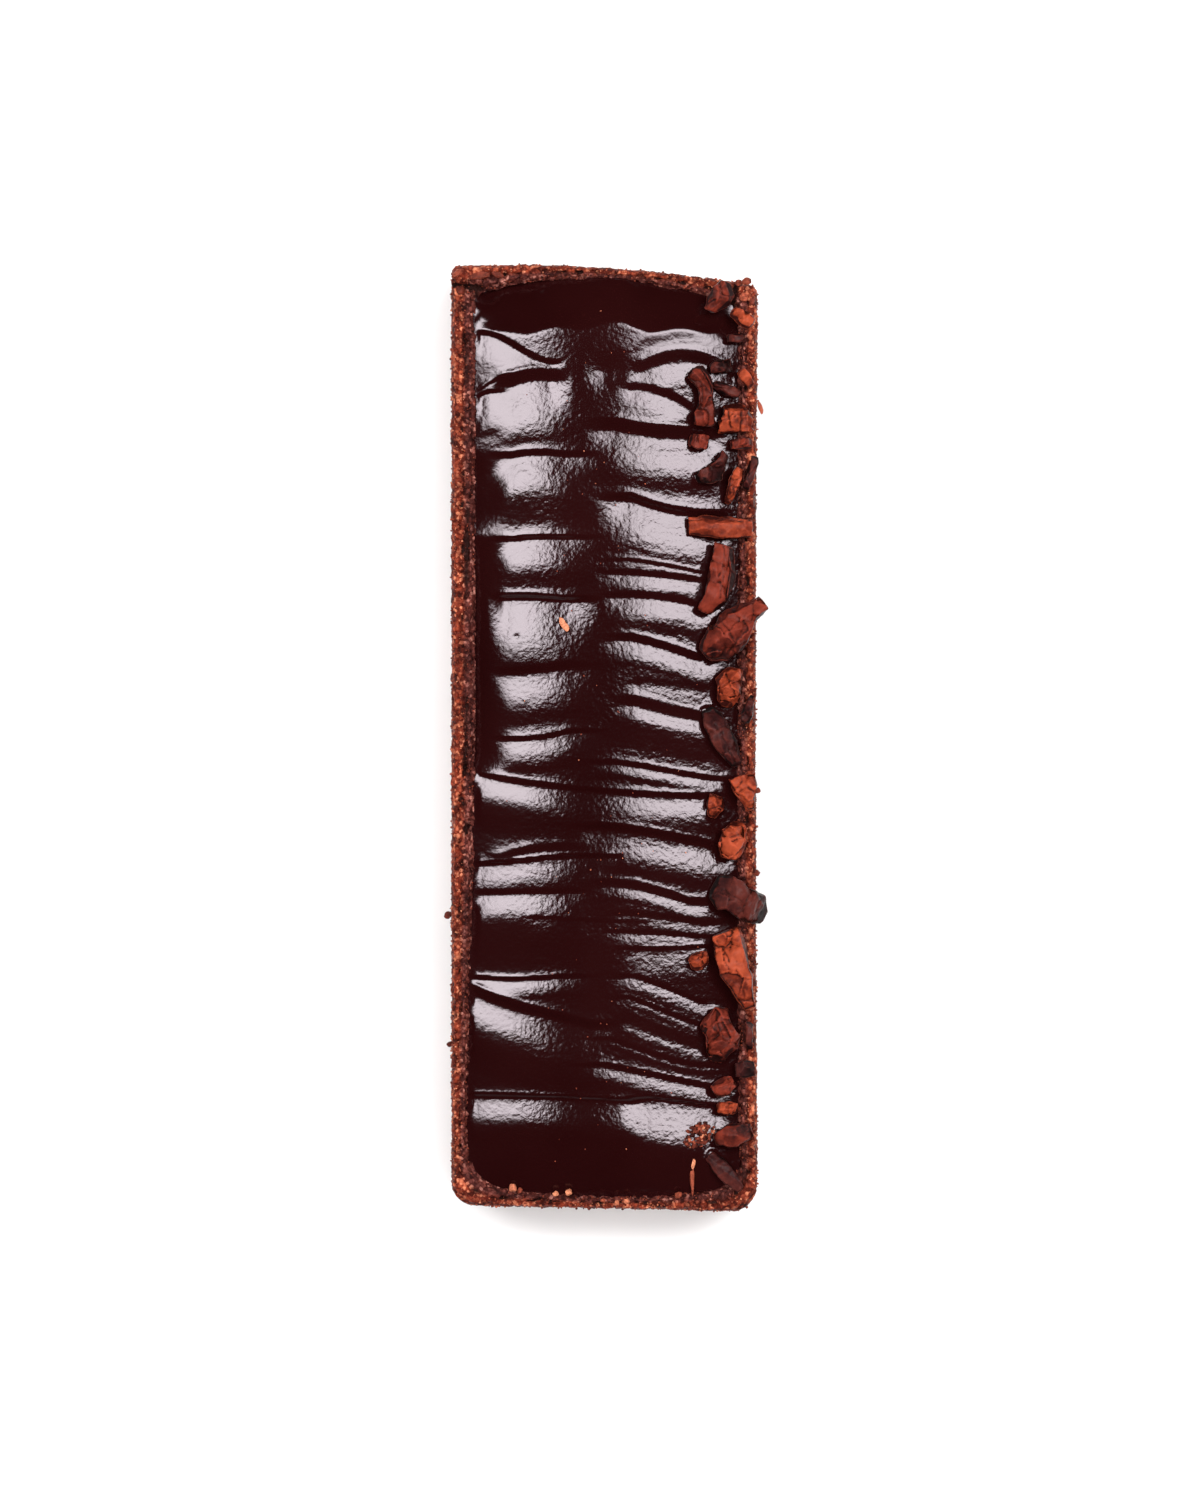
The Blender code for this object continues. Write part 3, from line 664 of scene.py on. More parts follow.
def grains_on(crust, dice):
    """Small grains of pastry, half sunk in the crust's walls and rim."""
    points, normals = points_and_normals(crust.data)
    rim = np.zeros(len(points), np.float32)
    crust.data.attributes["rim"].data.foreach_get("value", rim)
    on_rim = np.flatnonzero((rim > 0.0) & (rim < 0.95))
    on_wall = np.flatnonzero((rim == 0.0) & (points[:, 2] > 0.6))
    shapes = [crumb_shape(1, seed) for seed in range(6)]
    chosen = [(index, dice.uniform(0.08, 0.24)) for index in dice.choices(on_wall, k=WALL_GRAINS)]
    chosen += [(index, dice.uniform(0.06, 0.17)) for index in dice.choices(on_rim, k=RIM_GRAINS)]
    for index, radius in chosen:
        shape, faces = dice.choice(shapes)
        squash = (1.0, dice.uniform(0.6, 1.0), dice.uniform(0.6, 1.0))
        place = points[index] + normals[index] * radius * 0.25
        place[2] = max(place[2], radius)
        lighter = 0.25 if rim[index] < 0.5 else 0.0
        yield turned(shape * squash, dice) * radius + place, faces, dice.random() * 0.75 + lighter


def large_crumbs(dice):
    """The crumbs big enough to be placed one by one."""
    for number, crumb in enumerate(LARGE_CRUMBS):
        shape, faces = crumb_shape(3, number + 0.5)
        angle = math.radians(crumb.turn)
        shape = shape * crumb.size
        x = shape[:, 0] * math.cos(angle) - shape[:, 1] * math.sin(angle)
        y = shape[:, 0] * math.sin(angle) + shape[:, 1] * math.cos(angle)
        yield np.column_stack((x, y, shape[:, 2])) + crumb[:3], faces, crumb.tone


def heaped_crumbs(dice):
    """A low heap of fine crumbs lying on the ganache."""
    x, y, spread_x, spread_y = HEAP
    shapes = [crumb_shape(2, seed + 0.3) for seed in range(5)]
    for _ in range(HEAP_CRUMBS):
        turn, out = dice.uniform(0.0, math.tau), math.sqrt(dice.random())
        place_x, place_y = x + spread_x * out * math.cos(turn), y + spread_y * out * math.sin(turn)
        place_y += 0.35 * (place_x - x)
        shape, faces = dice.choice(shapes)
        size = dice.uniform(0.14, 0.42)
        height = ganache_height(np.array([place_x]), np.array([place_y]))[0] + 0.5 * (1.0 - out)
        shape = turned(shape * (1.0, 0.7, 0.6), dice) * size
        yield shape + (place_x, place_y, height), faces, dice.random() ** 1.3


def specks_on_ganache(dice):
    """Dust-fine specks strewn over the ganache."""
    shape, faces = crumb_shape(1, 0.0)
    for _ in range(SPECKS):
        x = dice.gauss(-1.0, 6.5)
        y = dice.uniform(-56.0, 56.0)
        if not LEFT + 1.5 < x < RIGHT - 4.5:
            continue
        radius = dice.uniform(0.05, 0.12)
        height = ganache_height(np.array([x]), np.array([y]))[0]
        yield turned(shape, dice) * radius + (x, y, height), faces, dice.uniform(0.5, 1.0)


NIB_VOXEL = 0.15
NIB_SINK = 0.45


class Look(NamedTuple):
    """How a nib broke. Places on it are given as shares of its box."""

    dark_side: float = -80.0  # heading of the side that kept its dark skin, in degrees
    skin: float = 0.35  # how much of the nib that skin covers
    chips: int = 4  # faces cut into its top
    crags: float = 0.5  # how broken its surface is
    lobes: tuple = ()  # domes, each with its place, its radius and its height
    creases: tuple = ()  # lines through places


LOBE_GAIN = 1.5
FACE_SPREAD = 5.3  # so far apart in the noise that neighbouring faces have little in common
FACE_TILT = 0.9
FACE_STEP = 0.3
FACE_TONE = 0.5
CREASE_WIDTH = 0.17
CREASE_DEPTH = 0.24
LOOKS = {
    "nib_01": Look(70, 0.5, 4, 0.4, (), (((0.45, 1.0), (0.62, 0.55), (0.95, 0.45)),)),
    "nib_02": Look(200, 0.35, 5, 0.5, ((0.3, 0.7, 1.0, 0.4), (0.7, 0.3, 1.2, 0.4))),
    "nib_04": Look(-90, 0.8, 3, 0.4, ((0.3, 0.4, 1.3, 0.5),)),
    "nib_05": Look(120, 0.5, 4, 0.3, (), (((0.0, 0.6), (0.5, 0.5), (0.9, 0.9)),)),
    "nib_07": Look(
        20, 0.5, 3, 0.3, ((0.30, 0.88, 1.1, 0.4), (0.62, 0.50, 1.3, 0.4), (0.35, 0.12, 1.5, 0.7)),
        (((0.45, 0.75), (0.55, 0.50), (0.45, 0.30)),),
    ),
    "nib_08": Look(
        130, 0.3, 2, 0.35, (),
        (((0.30, 0.75), (0.36, 0.15)), ((0.62, 0.85), (0.66, 0.40), (0.60, 0.05))),
    ),
    "nib_11": Look(240, 0.6, 3, 0.3, ((0.25, 0.25, 1.6, 0.5), (0.70, 0.75, 1.3, 0.6))),
    "nib_12": Look(160, 0.5, 4, 0.5, ((0.6, 0.85, 0.9, 0.4), (0.4, 0.3, 1.0, 0.3))),
    "nib_14": Look(-90, 0.25, 2, 0.12, (), (((0.02, 0.74), (0.30, 0.82), (0.60, 0.76), (0.98, 0.74)),)),
    "nib_15": Look(
        -20, 0.45, 2, 0.3,         ((0.62, 0.85, 1.8, 0.4), (0.42, 0.56, 1.5, 0.5), (0.30, 0.24, 2.2, 0.8), (0.80, 0.5, 1.4, 0.3)),
        (
            ((0.68, 0.96), (0.70, 0.72), (0.58, 0.55), (0.36, 0.41), (0.60, 0.42)),
            ((0.92, 0.90), (0.80, 0.70), (0.66, 0.48), (0.60, 0.22)),
        ),
    ),
    "nib_16": Look(
        -70, 0.3, 3, 0.5,         (
            (0.88, 0.82, 1.2, 0.4), (0.55, 0.78, 2.2, 0.7), (0.45, 0.50, 2.4, 0.7),
            (0.18, 0.27, 1.9, 0.6), (0.70, 0.48, 1.5, 0.5),
        ),
        (((0.40, 0.08), (0.52, 0.28), (0.66, 0.58)), ((0.28, 0.66), (0.44, 0.46), (0.52, 0.28))),
    ),
    "nib_17": Look(
        250, 0.25, 4, 1.0,         (
            (0.70, 0.80, 1.1, 0.7), (0.25, 0.62, 0.9, 0.5), (0.45, 0.35, 1.3, 0.7),
            (0.78, 0.42, 1.0, 0.5), (0.45, 0.10, 0.9, 0.4),
        ),
    ),
    "nib_19": Look(
        170, 0.65, 3, 0.25,         ((0.25, 0.75, 1.8, 0.4), (0.50, 0.45, 1.8, 0.4), (0.80, 0.15, 1.4, 0.3)),
        (((0.34, 0.66), (0.60, 0.38), (0.84, 0.10)),),
    ),
    "nib_20": Look(-60, 0.4, 3, 0.6, ((0.20, 0.80, 1.0, 0.3), (0.85, 0.75, 0.9, 0.3), (0.6, 0.35, 1.2, 0.4))),
    "nib_21": Look(200, 0.35, 5, 0.7, ((0.3, 0.6, 0.9, 0.4), (0.75, 0.7, 0.8, 0.5), (0.45, 0.2, 0.8, 0.4))),
    "nib_22": Look(240, 0.35, 4, 0.8, ((0.50, 0.80, 1.4, 0.9), (0.58, 0.32, 1.9, 0.7), (0.1, 0.45, 0.9, 0.3))),
    "nib_23": Look(
        225, 0.5, 2, 0.35, ((0.30, 0.60, 3.0, 1.0), (0.80, 0.35, 2.3, 0.9), (0.45, 0.30, 1.5, 0.3)),
        (((0.14, 0.80), (0.34, 0.62), (0.52, 0.46)), ((0.74, 0.30), (0.80, 0.52), (0.76, 0.66))),
    ),
    "nib_24": Look(
        200, 0.35, 2, 0.5,         (
            (0.22, 0.92, 1.6, 0.8), (0.72, 0.88, 1.7, 0.9), (0.60, 0.68, 1.4, 0.7),
            (0.45, 0.52, 2.6, 0.5), (0.75, 0.32, 2.0, 0.4),
        ),
        (((0.12, 0.84), (0.26, 0.74), (0.40, 0.60)), ((0.56, 0.50), (0.66, 0.30), (0.78, 0.12))),
    ),
    "nib_25": Look(260, 0.4, 4, 0.7, ((0.35, 0.5, 1.0, 0.5), (0.75, 0.45, 0.8, 0.4), (0.45, 0.85, 0.6, 0.4))),
    "nib_26": Look(
        235, 0.45, 4, 0.7,         ((0.45, 0.78, 1.8, 0.6), (0.75, 0.55, 1.4, 0.6), (0.25, 0.60, 1.2, 0.4), (0.55, 0.25, 1.8, 0.8)),
        (((0.42, 0.92), (0.50, 0.66), (0.60, 0.46), (0.66, 0.10)),),
    ),
    "nib_29": Look(250, 0.4, 4, 0.5, ((0.4, 0.6, 1.2, 0.5), (0.8, 0.4, 0.9, 0.4))),
    "nib_30": Look(250, 0.35, 5, 0.6, ((0.3, 0.5, 0.9, 0.3), (0.75, 0.5, 0.8, 0.4))),
    "nib_27": Look(-90, 0.6, 3, 0.2),
    "nib_28": Look(-90, 0.6, 3, 0.2),
    "nib_32": Look(-60, 0.5, 2, 0.1),
    "nib_31": Look(-70, 0.4, 1, 0.12, ((0.5, 0.5, 2.4, 0.6),)),
}


def refined(mesh):
    """The mesh remade of small even faces."""
    draft = bpy.data.objects.new("draft", mesh)
    bpy.context.scene.collection.objects.link(draft)
    remesh = draft.modifiers.new("fine", "REMESH")
    remesh.mode = "VOXEL"
    remesh.voxel_size = NIB_VOXEL * MM
    smooth = draft.modifiers.new("ease", "SMOOTH")
    smooth.factor = 0.5
    smooth.iterations = 2
    bpy.context.view_layer.update()
    depsgraph = bpy.context.evaluated_depsgraph_get()
    fine = bpy.data.meshes.new_from_object(draft.evaluated_get(depsgraph))
    bpy.data.objects.remove(draft)
    return fine


def bulge(mesh, points, normals):
    """How far each point stands out from its neighbours: above 0 on edges, below in creases."""
    ends = np.zeros(len(mesh.edges) * 2, np.int64)
    mesh.edges.foreach_get("vertices", ends)
    ends = ends.reshape(-1, 2)
    total, count = np.zeros_like(points), np.zeros(len(points))
    for near, far in ((0, 1), (1, 0)):
        np.add.at(total, ends[:, near], points[ends[:, far]])
        np.add.at(count, ends[:, near], 1.0)
    around = total / np.maximum(count, 1.0)[:, None]
    found = np.einsum("ij,ij->i", points - around, normals) / NIB_VOXEL
    for _ in range(2):
        spread = np.zeros(len(points))
        for near, far in ((0, 1), (1, 0)):
            np.add.at(spread, ends[:, near], found[ends[:, far]])
        found = (found + spread / np.maximum(count, 1.0)) / 2
    return found


def distance_to_line(places, line):
    """Distance in the plane from each place to the nearest part of a line through points."""
    nearest = np.full(len(places), np.inf)
    for start, end in zip(line, line[1:]):
        along = end - start
        share = np.clip(((places - start) @ along) / (along @ along), 0.0, 1.0)
        nearest = np.minimum(nearest, np.linalg.norm(places - start - share[:, None] * along, axis=1))
    return nearest


def chipped(points, tones, chips, dice):
    """Cuts flat faces into the top of a nib, and gives each of them its own tone."""
    middle = points.mean(axis=0)
    for _ in range(chips):
        facing = np.array((dice.gauss(0, 0.6), dice.gauss(0, 0.6), 1.0))
        facing /= np.linalg.norm(facing)
        reach = (points - middle) @ facing
        over = np.maximum(reach - np.quantile(reach, dice.uniform(0.80, 0.94)), 0.0)
        points -= facing * over[:, None]
        tones[over > 0.0] += dice.uniform(-0.25, 0.25)


def make_nib(name, materials, seed):
    """A cocoa nib: its solid chipped to flat faces, creased and roughened."""
    look = LOOKS.get(name, Look())
    fine = refined(frame["nodes"][name].data.copy())
    points, normals = points_and_normals(fine)
    dice = random.Random(seed)
    tones = np.full(len(points), dice.uniform(0.55, 0.80))
    chipped(points, tones, look.chips, dice)
    box_low, box_high = (np.array(corner)[:2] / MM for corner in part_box(name))
    lumps = noise_at(points, 1.7, octaves=2, seed=seed + 0.5)
    rough = noise_at(points, 0.5, octaves=2, seed=seed + 0.9)
    warp = 0.25 * np.stack((lumps, noise_at(points, 1.2, seed=seed + 40.0)), axis=1)
    places = points[:, :2] + warp
    upward = blend(0.0, 0.6, normals[:, 2])
    domes, creases = np.zeros(len(points)), np.zeros(len(points))
    for across, along, radius, height in look.lobes:
        away = np.linalg.norm(places - box_low - (across, along) * (box_high - box_low), axis=1)
        domes = np.maximum(domes, height * np.sqrt(np.clip(1.0 - (away / radius) ** 2, 0.0, 1.0)))
    for crease in look.creases:
        away = distance_to_line(places, box_low + np.array(crease) * (box_high - box_low))
        creases = np.maximum(creases, np.exp(-((away / CREASE_WIDTH) ** 2)))
    creases *= upward * blend(-0.35, 0.25, lumps)
    face_size = 0.35 * np.sqrt(np.prod(box_high - box_low)) + 0.3
    face_heights, face_tones = broken_faces(points + 0.25 * lumps[:, None], face_size, 3.0 * seed)
    tones += look.crags * FACE_TONE * face_tones
    shift = 0.09 * lumps + 0.04 * rough - CREASE_DEPTH * creases
    points = points + normals * shift[:, None]
    points[:, 2] += upward * LOBE_GAIN * (domes - 0.6 * domes.max())
    points[:, 2] += upward * look.crags * np.clip(face_heights, -0.7, 0.4)
    heading = math.radians(look.dark_side)
    side = normals @ (math.cos(heading), math.sin(heading), -0.35)
    tones += 0.30 * lumps - 1.0 * blend(0.70 - 1.1 * look.skin, 1.05 - 0.9 * look.skin, side)
    # painted shade: steep sides, turning down towards the ganache, are darkened
    tones -= 0.5 * (1.0 - blend(0.2, 0.75, normals[:, 2]))
    points[:, 2] -= NIB_SINK
    fine.vertices.foreach_set("co", (points * MM).ravel())
    fine.update()
    slot = next(s["material_slot"] for s in frame["record"]["subparts"] if s["node"] == name)
    fine.materials.clear()
    fine.materials.append(materials[slot])
    fine.shade_smooth()
    nib = bpy.data.objects.new(name + "_roasted", fine)
    bpy.context.scene.collection.objects.link(nib)
    add_attribute(nib, "tone", tones)
    # creases are set lower in bulge so that they take more of the painted shade
    add_attribute(nib, "bulge", bulge(fine, *points_and_normals(fine)) - 0.05 * creases)
    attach(nib, "root")
    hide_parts(name)
    level = ganache_height(points[:, 0], points[:, 1])
    return points[np.abs(points[:, 2] - level) < 0.15]


# ---- Materials


def new_material(name):
    material = bpy.data.materials.new(name)
    material.use_nodes = True
    nodes = material.node_tree.nodes
    return material, nodes, material.node_tree.links, nodes["Principled BSDF"]


def add_node(nodes, kind, **values):
    """Makes a node; values are its properties, or with in_ before them its sockets."""
    node = nodes.new(kind)
    for key, value in values.items():
        if key.startswith("in_"):
            node.inputs[key[3:].replace("_", " ")].default_value = value
        else:
            setattr(node, key, value)
    return node


def add_ramp(nodes, links, source, stops):
    """A colour ramp read from a value: stops are pairs of position and linear colour."""
    ramp = nodes.new("ShaderNodeValToRGB")
    elements = ramp.color_ramp.elements
    while len(elements) < len(stops):
        elements.new(0.5)
    for element, (position, colour) in zip(elements, stops):
        element.position = position
        element.color = (*colour, 1.0)
    links.new(source, ramp.inputs["Fac"])
    return ramp.outputs["Color"]


def add_noise(nodes, links, position, scale, detail=3.0, roughness=0.5):
    found = add_node(
        nodes, "ShaderNodeTexNoise", in_Scale=scale, in_Detail=detail, in_Roughness=roughness
    )
    links.new(position, found.inputs["Vector"])
    return found.outputs["Fac"]


def add_mix(nodes, links, factor, first, second, blend_type="MIX"):
    mix = add_node(nodes, "ShaderNodeMix", data_type="RGBA", blend_type=blend_type)
    for socket, value in ((0, factor), (6, first), (7, second)):
        if isinstance(value, bpy.types.NodeSocket):
            links.new(value, mix.inputs[socket])
        elif socket == 0:
            mix.inputs[0].default_value = value
        else:
            mix.inputs[socket].default_value = (*value, 1.0)
    return mix.outputs[2]


def add_bump(nodes, links, shader, heights):
    """Chains bumps, each a height value with its distance in millimetres, into the shader."""
    normal = None
    for height, distance in heights:
        bump = add_node(nodes, "ShaderNodeBump", in_Distance=distance * MM)
        links.new(height, bump.inputs["Height"])
        if normal:
            links.new(normal, bump.inputs["Normal"])
        normal = bump.outputs["Normal"]
    links.new(normal, shader.inputs["Normal"])


def position_of(nodes):
    return nodes.new("ShaderNodeTexCoord").outputs["Object"]


def attribute_of(nodes, name):
    return add_node(nodes, "ShaderNodeAttribute", attribute_name=name).outputs["Fac"]


def ganache_material():
    material, nodes, links, shader = new_material("ganache_gloss")
    position = position_of(nodes)
    shades = add_noise(nodes, links, position, 60.0)
    colour = add_ramp(
        nodes, links, shades, ((0.3, (0.0110, 0.0014, 0.0015)), (0.7, (0.0150, 0.0022, 0.0023)))
    )
    links.new(colour, shader.inputs["Base Color"])
    heights = []
    for scale, distance in ((900.0, 0.022), (1700.0, 0.040)):
        crinkle = add_noise(nodes, links, position, scale, detail=2.0)
        patchy = add_node(nodes, "ShaderNodeMath", operation="MULTIPLY")
        links.new(crinkle, patchy.inputs[0])
        links.new(attribute_of(nodes, "rough"), patchy.inputs[1])
        heights.append((patchy.outputs[0], distance))
    add_bump(nodes, links, shader, heights)
    shader.inputs["Roughness"].default_value = 0.10
    shader.inputs["IOR"].default_value = 1.56
    shader.inputs["Specular Tint"].default_value = (0.98, 0.88, 0.94, 1.0)
    return material


CRUST_LIT = ((0.05, (0.070, 0.008, 0.003)), (0.45, (0.175, 0.025, 0.011)),
             (0.75, (0.290, 0.055, 0.026)), (0.95, (0.560, 0.190, 0.105)))
CRUST_DULL = ((0.05, (0.042, 0.008, 0.007)), (0.50, (0.098, 0.023, 0.019)),
              (0.80, (0.170, 0.049, 0.041)), (0.97, (0.360, 0.150, 0.125)))
GRAIN_SCALE = 2300.0  # grains of pastry to a metre


def crust_material():
    material, nodes, links, shader = new_material("crust_baked")
    position = position_of(nodes)
    patches = add_noise(nodes, links, position, 420.0, detail=4.0, roughness=0.6)
    tone, gap = add_grains(nodes, links, position, GRAIN_SCALE)
    lit = add_ramp(nodes, links, tone, CRUST_LIT)
    dull = add_ramp(nodes, links, tone, CRUST_DULL)
    inner = add_node(nodes, "ShaderNodeMapRange", in_From_Min=0.42, in_From_Max=0.60)
    links.new(attribute_of(nodes, "rim"), inner.inputs["Value"])
    colour = add_mix(nodes, links, inner.outputs["Result"], lit, dull)
    tint = add_ramp(
        nodes, links, patches, ((0.36, (0.50, 0.42, 0.42)), (0.62, (1.35, 1.30, 1.20)))
    )
    colour = add_mix(nodes, links, 1.0, colour, tint, "MULTIPLY")
    # painted shade: the pits pressed into the crust are darkened
    painted_pit_shade = add_ramp(
        nodes, links, attribute_of(nodes, "painted_pit_shade"), ((0.0, (1.0, 1.0, 1.0)), (1.0, (0.45, 0.38, 0.38)))
    )
    colour = add_mix(nodes, links, 1.0, colour, painted_pit_shade, "MULTIPLY")
    # painted shade: the gaps between the grains are darkened
    between = add_ramp(nodes, links, gap, ((0.40, (1.0, 1.0, 1.0)), (0.80, (0.60, 0.45, 0.42))))
    colour = add_mix(nodes, links, 1.0, colour, between, "MULTIPLY")
    # painted shade: the crease along the rim and the cracks in it are darkened towards near black
    deep = add_node(nodes, "ShaderNodeMapRange", in_From_Min=0.10, in_From_Max=0.6)
    links.new(attribute_of(nodes, "crease"), deep.inputs["Value"])
    colour = add_mix(nodes, links, deep.outputs["Result"], colour, (0.016, 0.004, 0.003))
    links.new(colour, shader.inputs["Base Color"])
    add_bump(nodes, links, shader, ((patches, 0.15), (gap, -0.22)))
    shader.inputs["Roughness"].default_value = 0.6
    shader.inputs["Specular IOR Level"].default_value = 0.12
    return material


def add_grains(nodes, links, position, scale):
    """Grains packed at random: a tone for each, and how near to the gap between them it is."""
    cells = add_node(nodes, "ShaderNodeTexVoronoi", in_Scale=scale)
    links.new(position, cells.inputs["Vector"])
    parts = nodes.new("ShaderNodeSeparateColor")
    links.new(cells.outputs["Color"], parts.inputs["Color"])
    return parts.outputs["Red"], cells.outputs["Distance"]


def crumb_material():
    material, nodes, links, shader = new_material("crumbs")
    position = position_of(nodes)
    grain = add_noise(nodes, links, position, 1900.0, detail=2.0, roughness=0.7)
    colour = add_ramp(
        nodes, links, attribute_of(nodes, "tone"),
        ((0.0, (0.022, 0.004, 0.003)), (0.45, (0.120, 0.020, 0.011)),
         (0.8, (0.290, 0.062, 0.032)), (1.0, (0.560, 0.200, 0.105))),
    )
    shade = add_ramp(
        nodes, links, grain, ((0.3, (0.45, 0.42, 0.42)), (0.7, (1.5, 1.5, 1.5)))
    )
    colour = add_mix(nodes, links, 1.0, colour, shade, "MULTIPLY")
    links.new(colour, shader.inputs["Base Color"])
    add_bump(nodes, links, shader, ((grain, 0.15),))
    shader.inputs["Roughness"].default_value = 0.6
    shader.inputs["Specular IOR Level"].default_value = 0.15
    return material


def nib_material(name, skin, middle, bare, gloss):
    """Colours go from the dark skin to freshly broken cocoa by the nib's tone, with painted shade on steep sides and
    in hollows and a painted highlight on edges.
    """
    material, nodes, links, shader = new_material(name)
    position = position_of(nodes)
    mottle = add_noise(nodes, links, position, 900.0, detail=4.0, roughness=0.65)
    spread = add_node(nodes, "ShaderNodeMapRange", in_From_Min=0.3, in_From_Max=0.7,
                      in_To_Min=-0.16, in_To_Max=0.16)
    links.new(mottle, spread.inputs["Value"])
    tone = add_node(nodes, "ShaderNodeMath", operation="ADD")
    links.new(attribute_of(nodes, "tone"), tone.inputs[0])
    links.new(spread.outputs["Result"], tone.inputs[1])
    colour = add_ramp(
        nodes, links, tone.outputs[0], ((0.15, skin), (0.50, middle), (0.90, bare))
    )
    bulge_value = attribute_of(nodes, "bulge")
    # painted highlight: convex edges, where bulge is above 0, are mixed towards a lighter orange
    painted_edge_highlight = add_node(nodes, "ShaderNodeMapRange", in_From_Min=0.02, in_From_Max=0.16, in_To_Max=0.5)
    links.new(bulge_value, painted_edge_highlight.inputs["Value"])
    light = tuple(min(1.0, channel * 1.5) for channel in bare)
    colour = add_mix(nodes, links, painted_edge_highlight.outputs["Result"], colour, light)
    # painted shade: hollows and creases, where bulge is below 0, are darkened towards near black
    hollow = add_node(
        nodes, "ShaderNodeMapRange", in_From_Min=-0.03, in_From_Max=-0.20, in_To_Max=0.85
    )
    links.new(bulge_value, hollow.inputs["Value"])
    colour = add_mix(nodes, links, hollow.outputs["Result"], colour, (0.014, 0.003, 0.002))
    links.new(colour, shader.inputs["Base Color"])
    grain = add_noise(nodes, links, position, 2600.0, detail=2.0)
    add_bump(nodes, links, shader, ((mottle, 0.10), (grain, 0.05)))
    shader.inputs["Roughness"].default_value = 0.40
    shader.inputs["Specular IOR Level"].default_value = gloss
    return material


def floor_material():
    material, nodes, links, shader = new_material("floor")
    speckle = add_noise(nodes, links, position_of(nodes), 30.0)
    colour = add_ramp(nodes, links, speckle, ((0.0, (0.93, 0.93, 0.93)), (1.0, (0.95, 0.95, 0.95))))
    links.new(colour, shader.inputs["Base Color"])
    shader.inputs["Roughness"].default_value = 0.9
    shader.inputs["Specular IOR Level"].default_value = 0.0
    return material


# ---- The setting


def make_floor():
    mesh = bpy.data.meshes.new("floor")
    half = 4.0
    mesh.from_pydata(
        [(-half, -half, 0), (half, -half, 0), (half, half, 0), (-half, half, 0)],
        [],
        [(0, 1, 2, 3)],
    )
    mesh.materials.append(floor_material())
    floor = bpy.data.objects.new("floor", mesh)
    bpy.context.scene.collection.objects.link(floor)


LIGHT_HEIGHT = 1.0
EDGE_SOFTNESS = {"X": (0.08, 0.92), "Y": (0.04, 0.96)}  # how gradually a softbox fades towards its edges


def make_softbox(name, low, high, radiance):
    """A level softbox between two corners, brightest in the middle and fading outwards."""
    middle = (Vector(low) + Vector(high)) / 2
    size = Vector(high) - Vector(low)
    light = bpy.data.lights.new(name, "AREA")
    light.shape = "RECTANGLE"
    light.size, light.size_y = size
    light.energy = radiance * math.pi * size.x * size.y
    light.use_nodes = True
    nodes, links = light.node_tree.nodes, light.node_tree.links
    across = nodes.new("ShaderNodeSeparateXYZ")
    links.new(nodes.new("ShaderNodeNewGeometry").outputs["Parametric"], across.inputs[0])
    strength = None
    for axis, softness in EDGE_SOFTNESS.items():
        rest = add_node(nodes, "ShaderNodeMath", operation="SUBTRACT")
        rest.inputs[0].default_value = 1.0
        links.new(across.outputs[axis], rest.inputs[1])
        hump = add_node(nodes, "ShaderNodeMath", operation="MULTIPLY")
        links.new(across.outputs[axis], hump.inputs[0])
        links.new(rest.outputs[0], hump.inputs[1])
        fade = add_node(nodes, "ShaderNodeMath", operation="MULTIPLY")
        fade.inputs[1].default_value = 4.0
        links.new(hump.outputs[0], fade.inputs[0])
        low_share, high_share = softness
        soft = add_node(
            nodes, "ShaderNodeMapRange", in_From_Min=low_share, in_From_Max=high_share
        )
        soft.interpolation_type = "SMOOTHSTEP"
        links.new(fade.outputs[0], soft.inputs["Value"])
        if strength is None:
            strength = soft.outputs[0]
        else:
            both = add_node(nodes, "ShaderNodeMath", operation="MULTIPLY")
            links.new(strength, both.inputs[0])
            links.new(soft.outputs[0], both.inputs[1])
            strength = both.outputs[0]
    links.new(strength, nodes["Emission"].inputs["Strength"])
    made = bpy.data.objects.new(name, light)
    made.location = (*middle, LIGHT_HEIGHT)
    bpy.context.scene.collection.objects.link(made)


def make_soft_light(name, place, size, radiance):
    """A broad light aimed at the tart, which glossy surfaces do not mirror."""
    light = bpy.data.lights.new(name, "AREA")
    light.shape = "SQUARE"
    light.size = size
    light.energy = radiance * math.pi * size**2
    made = bpy.data.objects.new(name, light)
    made.location = place
    made.rotation_euler = (-Vector(place)).to_track_quat("-Z", "Y").to_euler()
    made.visible_glossy = False
    bpy.context.scene.collection.objects.link(made)


HORIZON_TOP = (0.12, 0.46)  # between these heights, as sines, the pale room turns dark
ROOM_NEAR = (-0.7, 0.1)  # and between these towards +Y, from its dim near end to its full share
DIM = 0.3


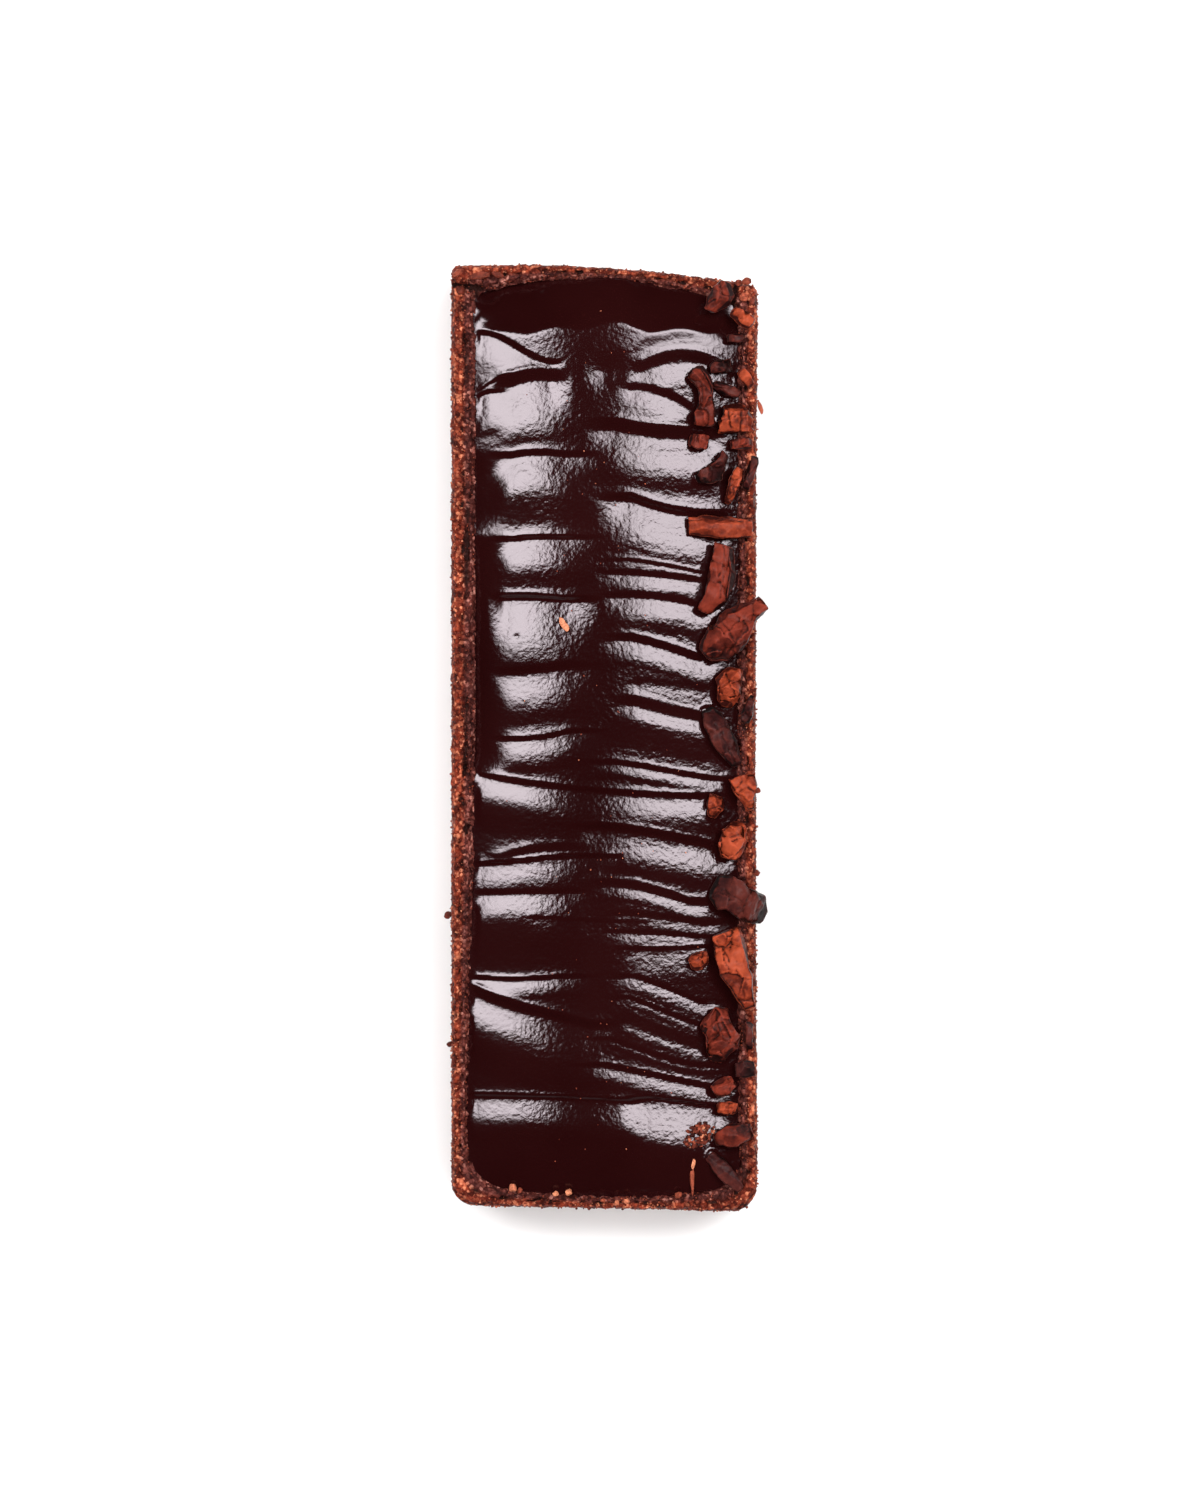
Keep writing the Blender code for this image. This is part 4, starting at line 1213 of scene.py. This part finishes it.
def make_world(strength):
    """A pale room that is dark overhead, so that only what is seen aslant mirrors it."""
    world = bpy.data.worlds.new("world")
    world.use_nodes = True
    nodes, links = world.node_tree.nodes, world.node_tree.links
    direction = nodes.new("ShaderNodeSeparateXYZ")
    links.new(nodes.new("ShaderNodeTexCoord").outputs["Generated"], direction.inputs[0])
    low, high = HORIZON_TOP
    fade = add_node(
        nodes, "ShaderNodeMapRange", in_From_Min=low, in_From_Max=high,
        in_To_Min=strength, in_To_Max=0.0,
    )
    fade.interpolation_type = "SMOOTHSTEP"
    links.new(direction.outputs["Z"], fade.inputs["Value"])
    near, far = ROOM_NEAR
    dim = add_node(nodes, "ShaderNodeMapRange", in_From_Min=near, in_From_Max=far, in_To_Min=DIM)
    links.new(direction.outputs["Y"], dim.inputs["Value"])
    both = add_node(nodes, "ShaderNodeMath", operation="MULTIPLY")
    links.new(fade.outputs["Result"], both.inputs[0])
    links.new(dim.outputs["Result"], both.inputs[1])
    background = nodes["Background"]
    background.inputs["Color"].default_value = (1.0, 1.0, 1.0, 1.0)
    links.new(both.outputs[0], background.inputs["Strength"])
    bpy.context.scene.world = world


CAMERA_HEIGHT = 1.0
FRAME_LENGTH = 0.1961  # what the picture's long side spans at the height of the rim
SENSOR = 36.0


def make_camera():
    data = bpy.data.cameras.new("camera")
    data.sensor_width = SENSOR
    data.lens = SENSOR * (CAMERA_HEIGHT - RIM * MM) / FRAME_LENGTH
    camera = bpy.data.objects.new("camera", data)
    camera.location = (-0.0006, -0.0017, CAMERA_HEIGHT)
    bpy.context.scene.collection.objects.link(camera)
    bpy.context.scene.camera = camera
    bpy.context.scene.view_settings.view_transform = "Standard"


def main():
    dice = random.Random(11)
    materials = {
        "nib_light": nib_material(
            "nib_light", (0.026, 0.004, 0.003), (0.145, 0.019, 0.008), (0.310, 0.050, 0.020), 0.10
        ),
        "nib_red": nib_material(
            "nib_red", (0.012, 0.003, 0.003), (0.074, 0.010, 0.006), (0.170, 0.024, 0.013), 0.10
        ),
        "nib_dark": nib_material(
            "nib_dark", (0.005, 0.002, 0.002), (0.026, 0.005, 0.005), (0.080, 0.015, 0.011), 0.12
        ),
    }
    nibs = sorted(node for node in frame["nodes"] if node.startswith("nib_"))
    contacts = [make_nib(name, materials, seed) for seed, name in enumerate(nibs, start=1)]
    crust = make_crust(crust_material())
    make_ganache(ganache_material(), np.concatenate(contacts))
    crumbs = crumb_material()
    make_crumbs("crust_grains", grains_on(crust, dice), crumbs)
    make_crumbs("loose_crumbs", large_crumbs(dice), crumbs)
    make_crumbs("heaped_crumbs", heaped_crumbs(dice), crumbs)
    make_crumbs("specks", specks_on_ganache(dice), crumbs)
    make_floor()
    make_softbox("softbox_left", (-0.86, 0.045), (-0.19, 0.50), 14.2)
    make_softbox("softbox_right", (0.01, 0.045), (0.82, 0.50), 13.2)
    make_soft_light("key", (0.06, 0.18, 1.20), 0.9, 3.4)
    make_soft_light("fill", (0.0, -0.7, 1.5), 2.8, 1.2)
    make_world(1.0)
    make_camera()


main()
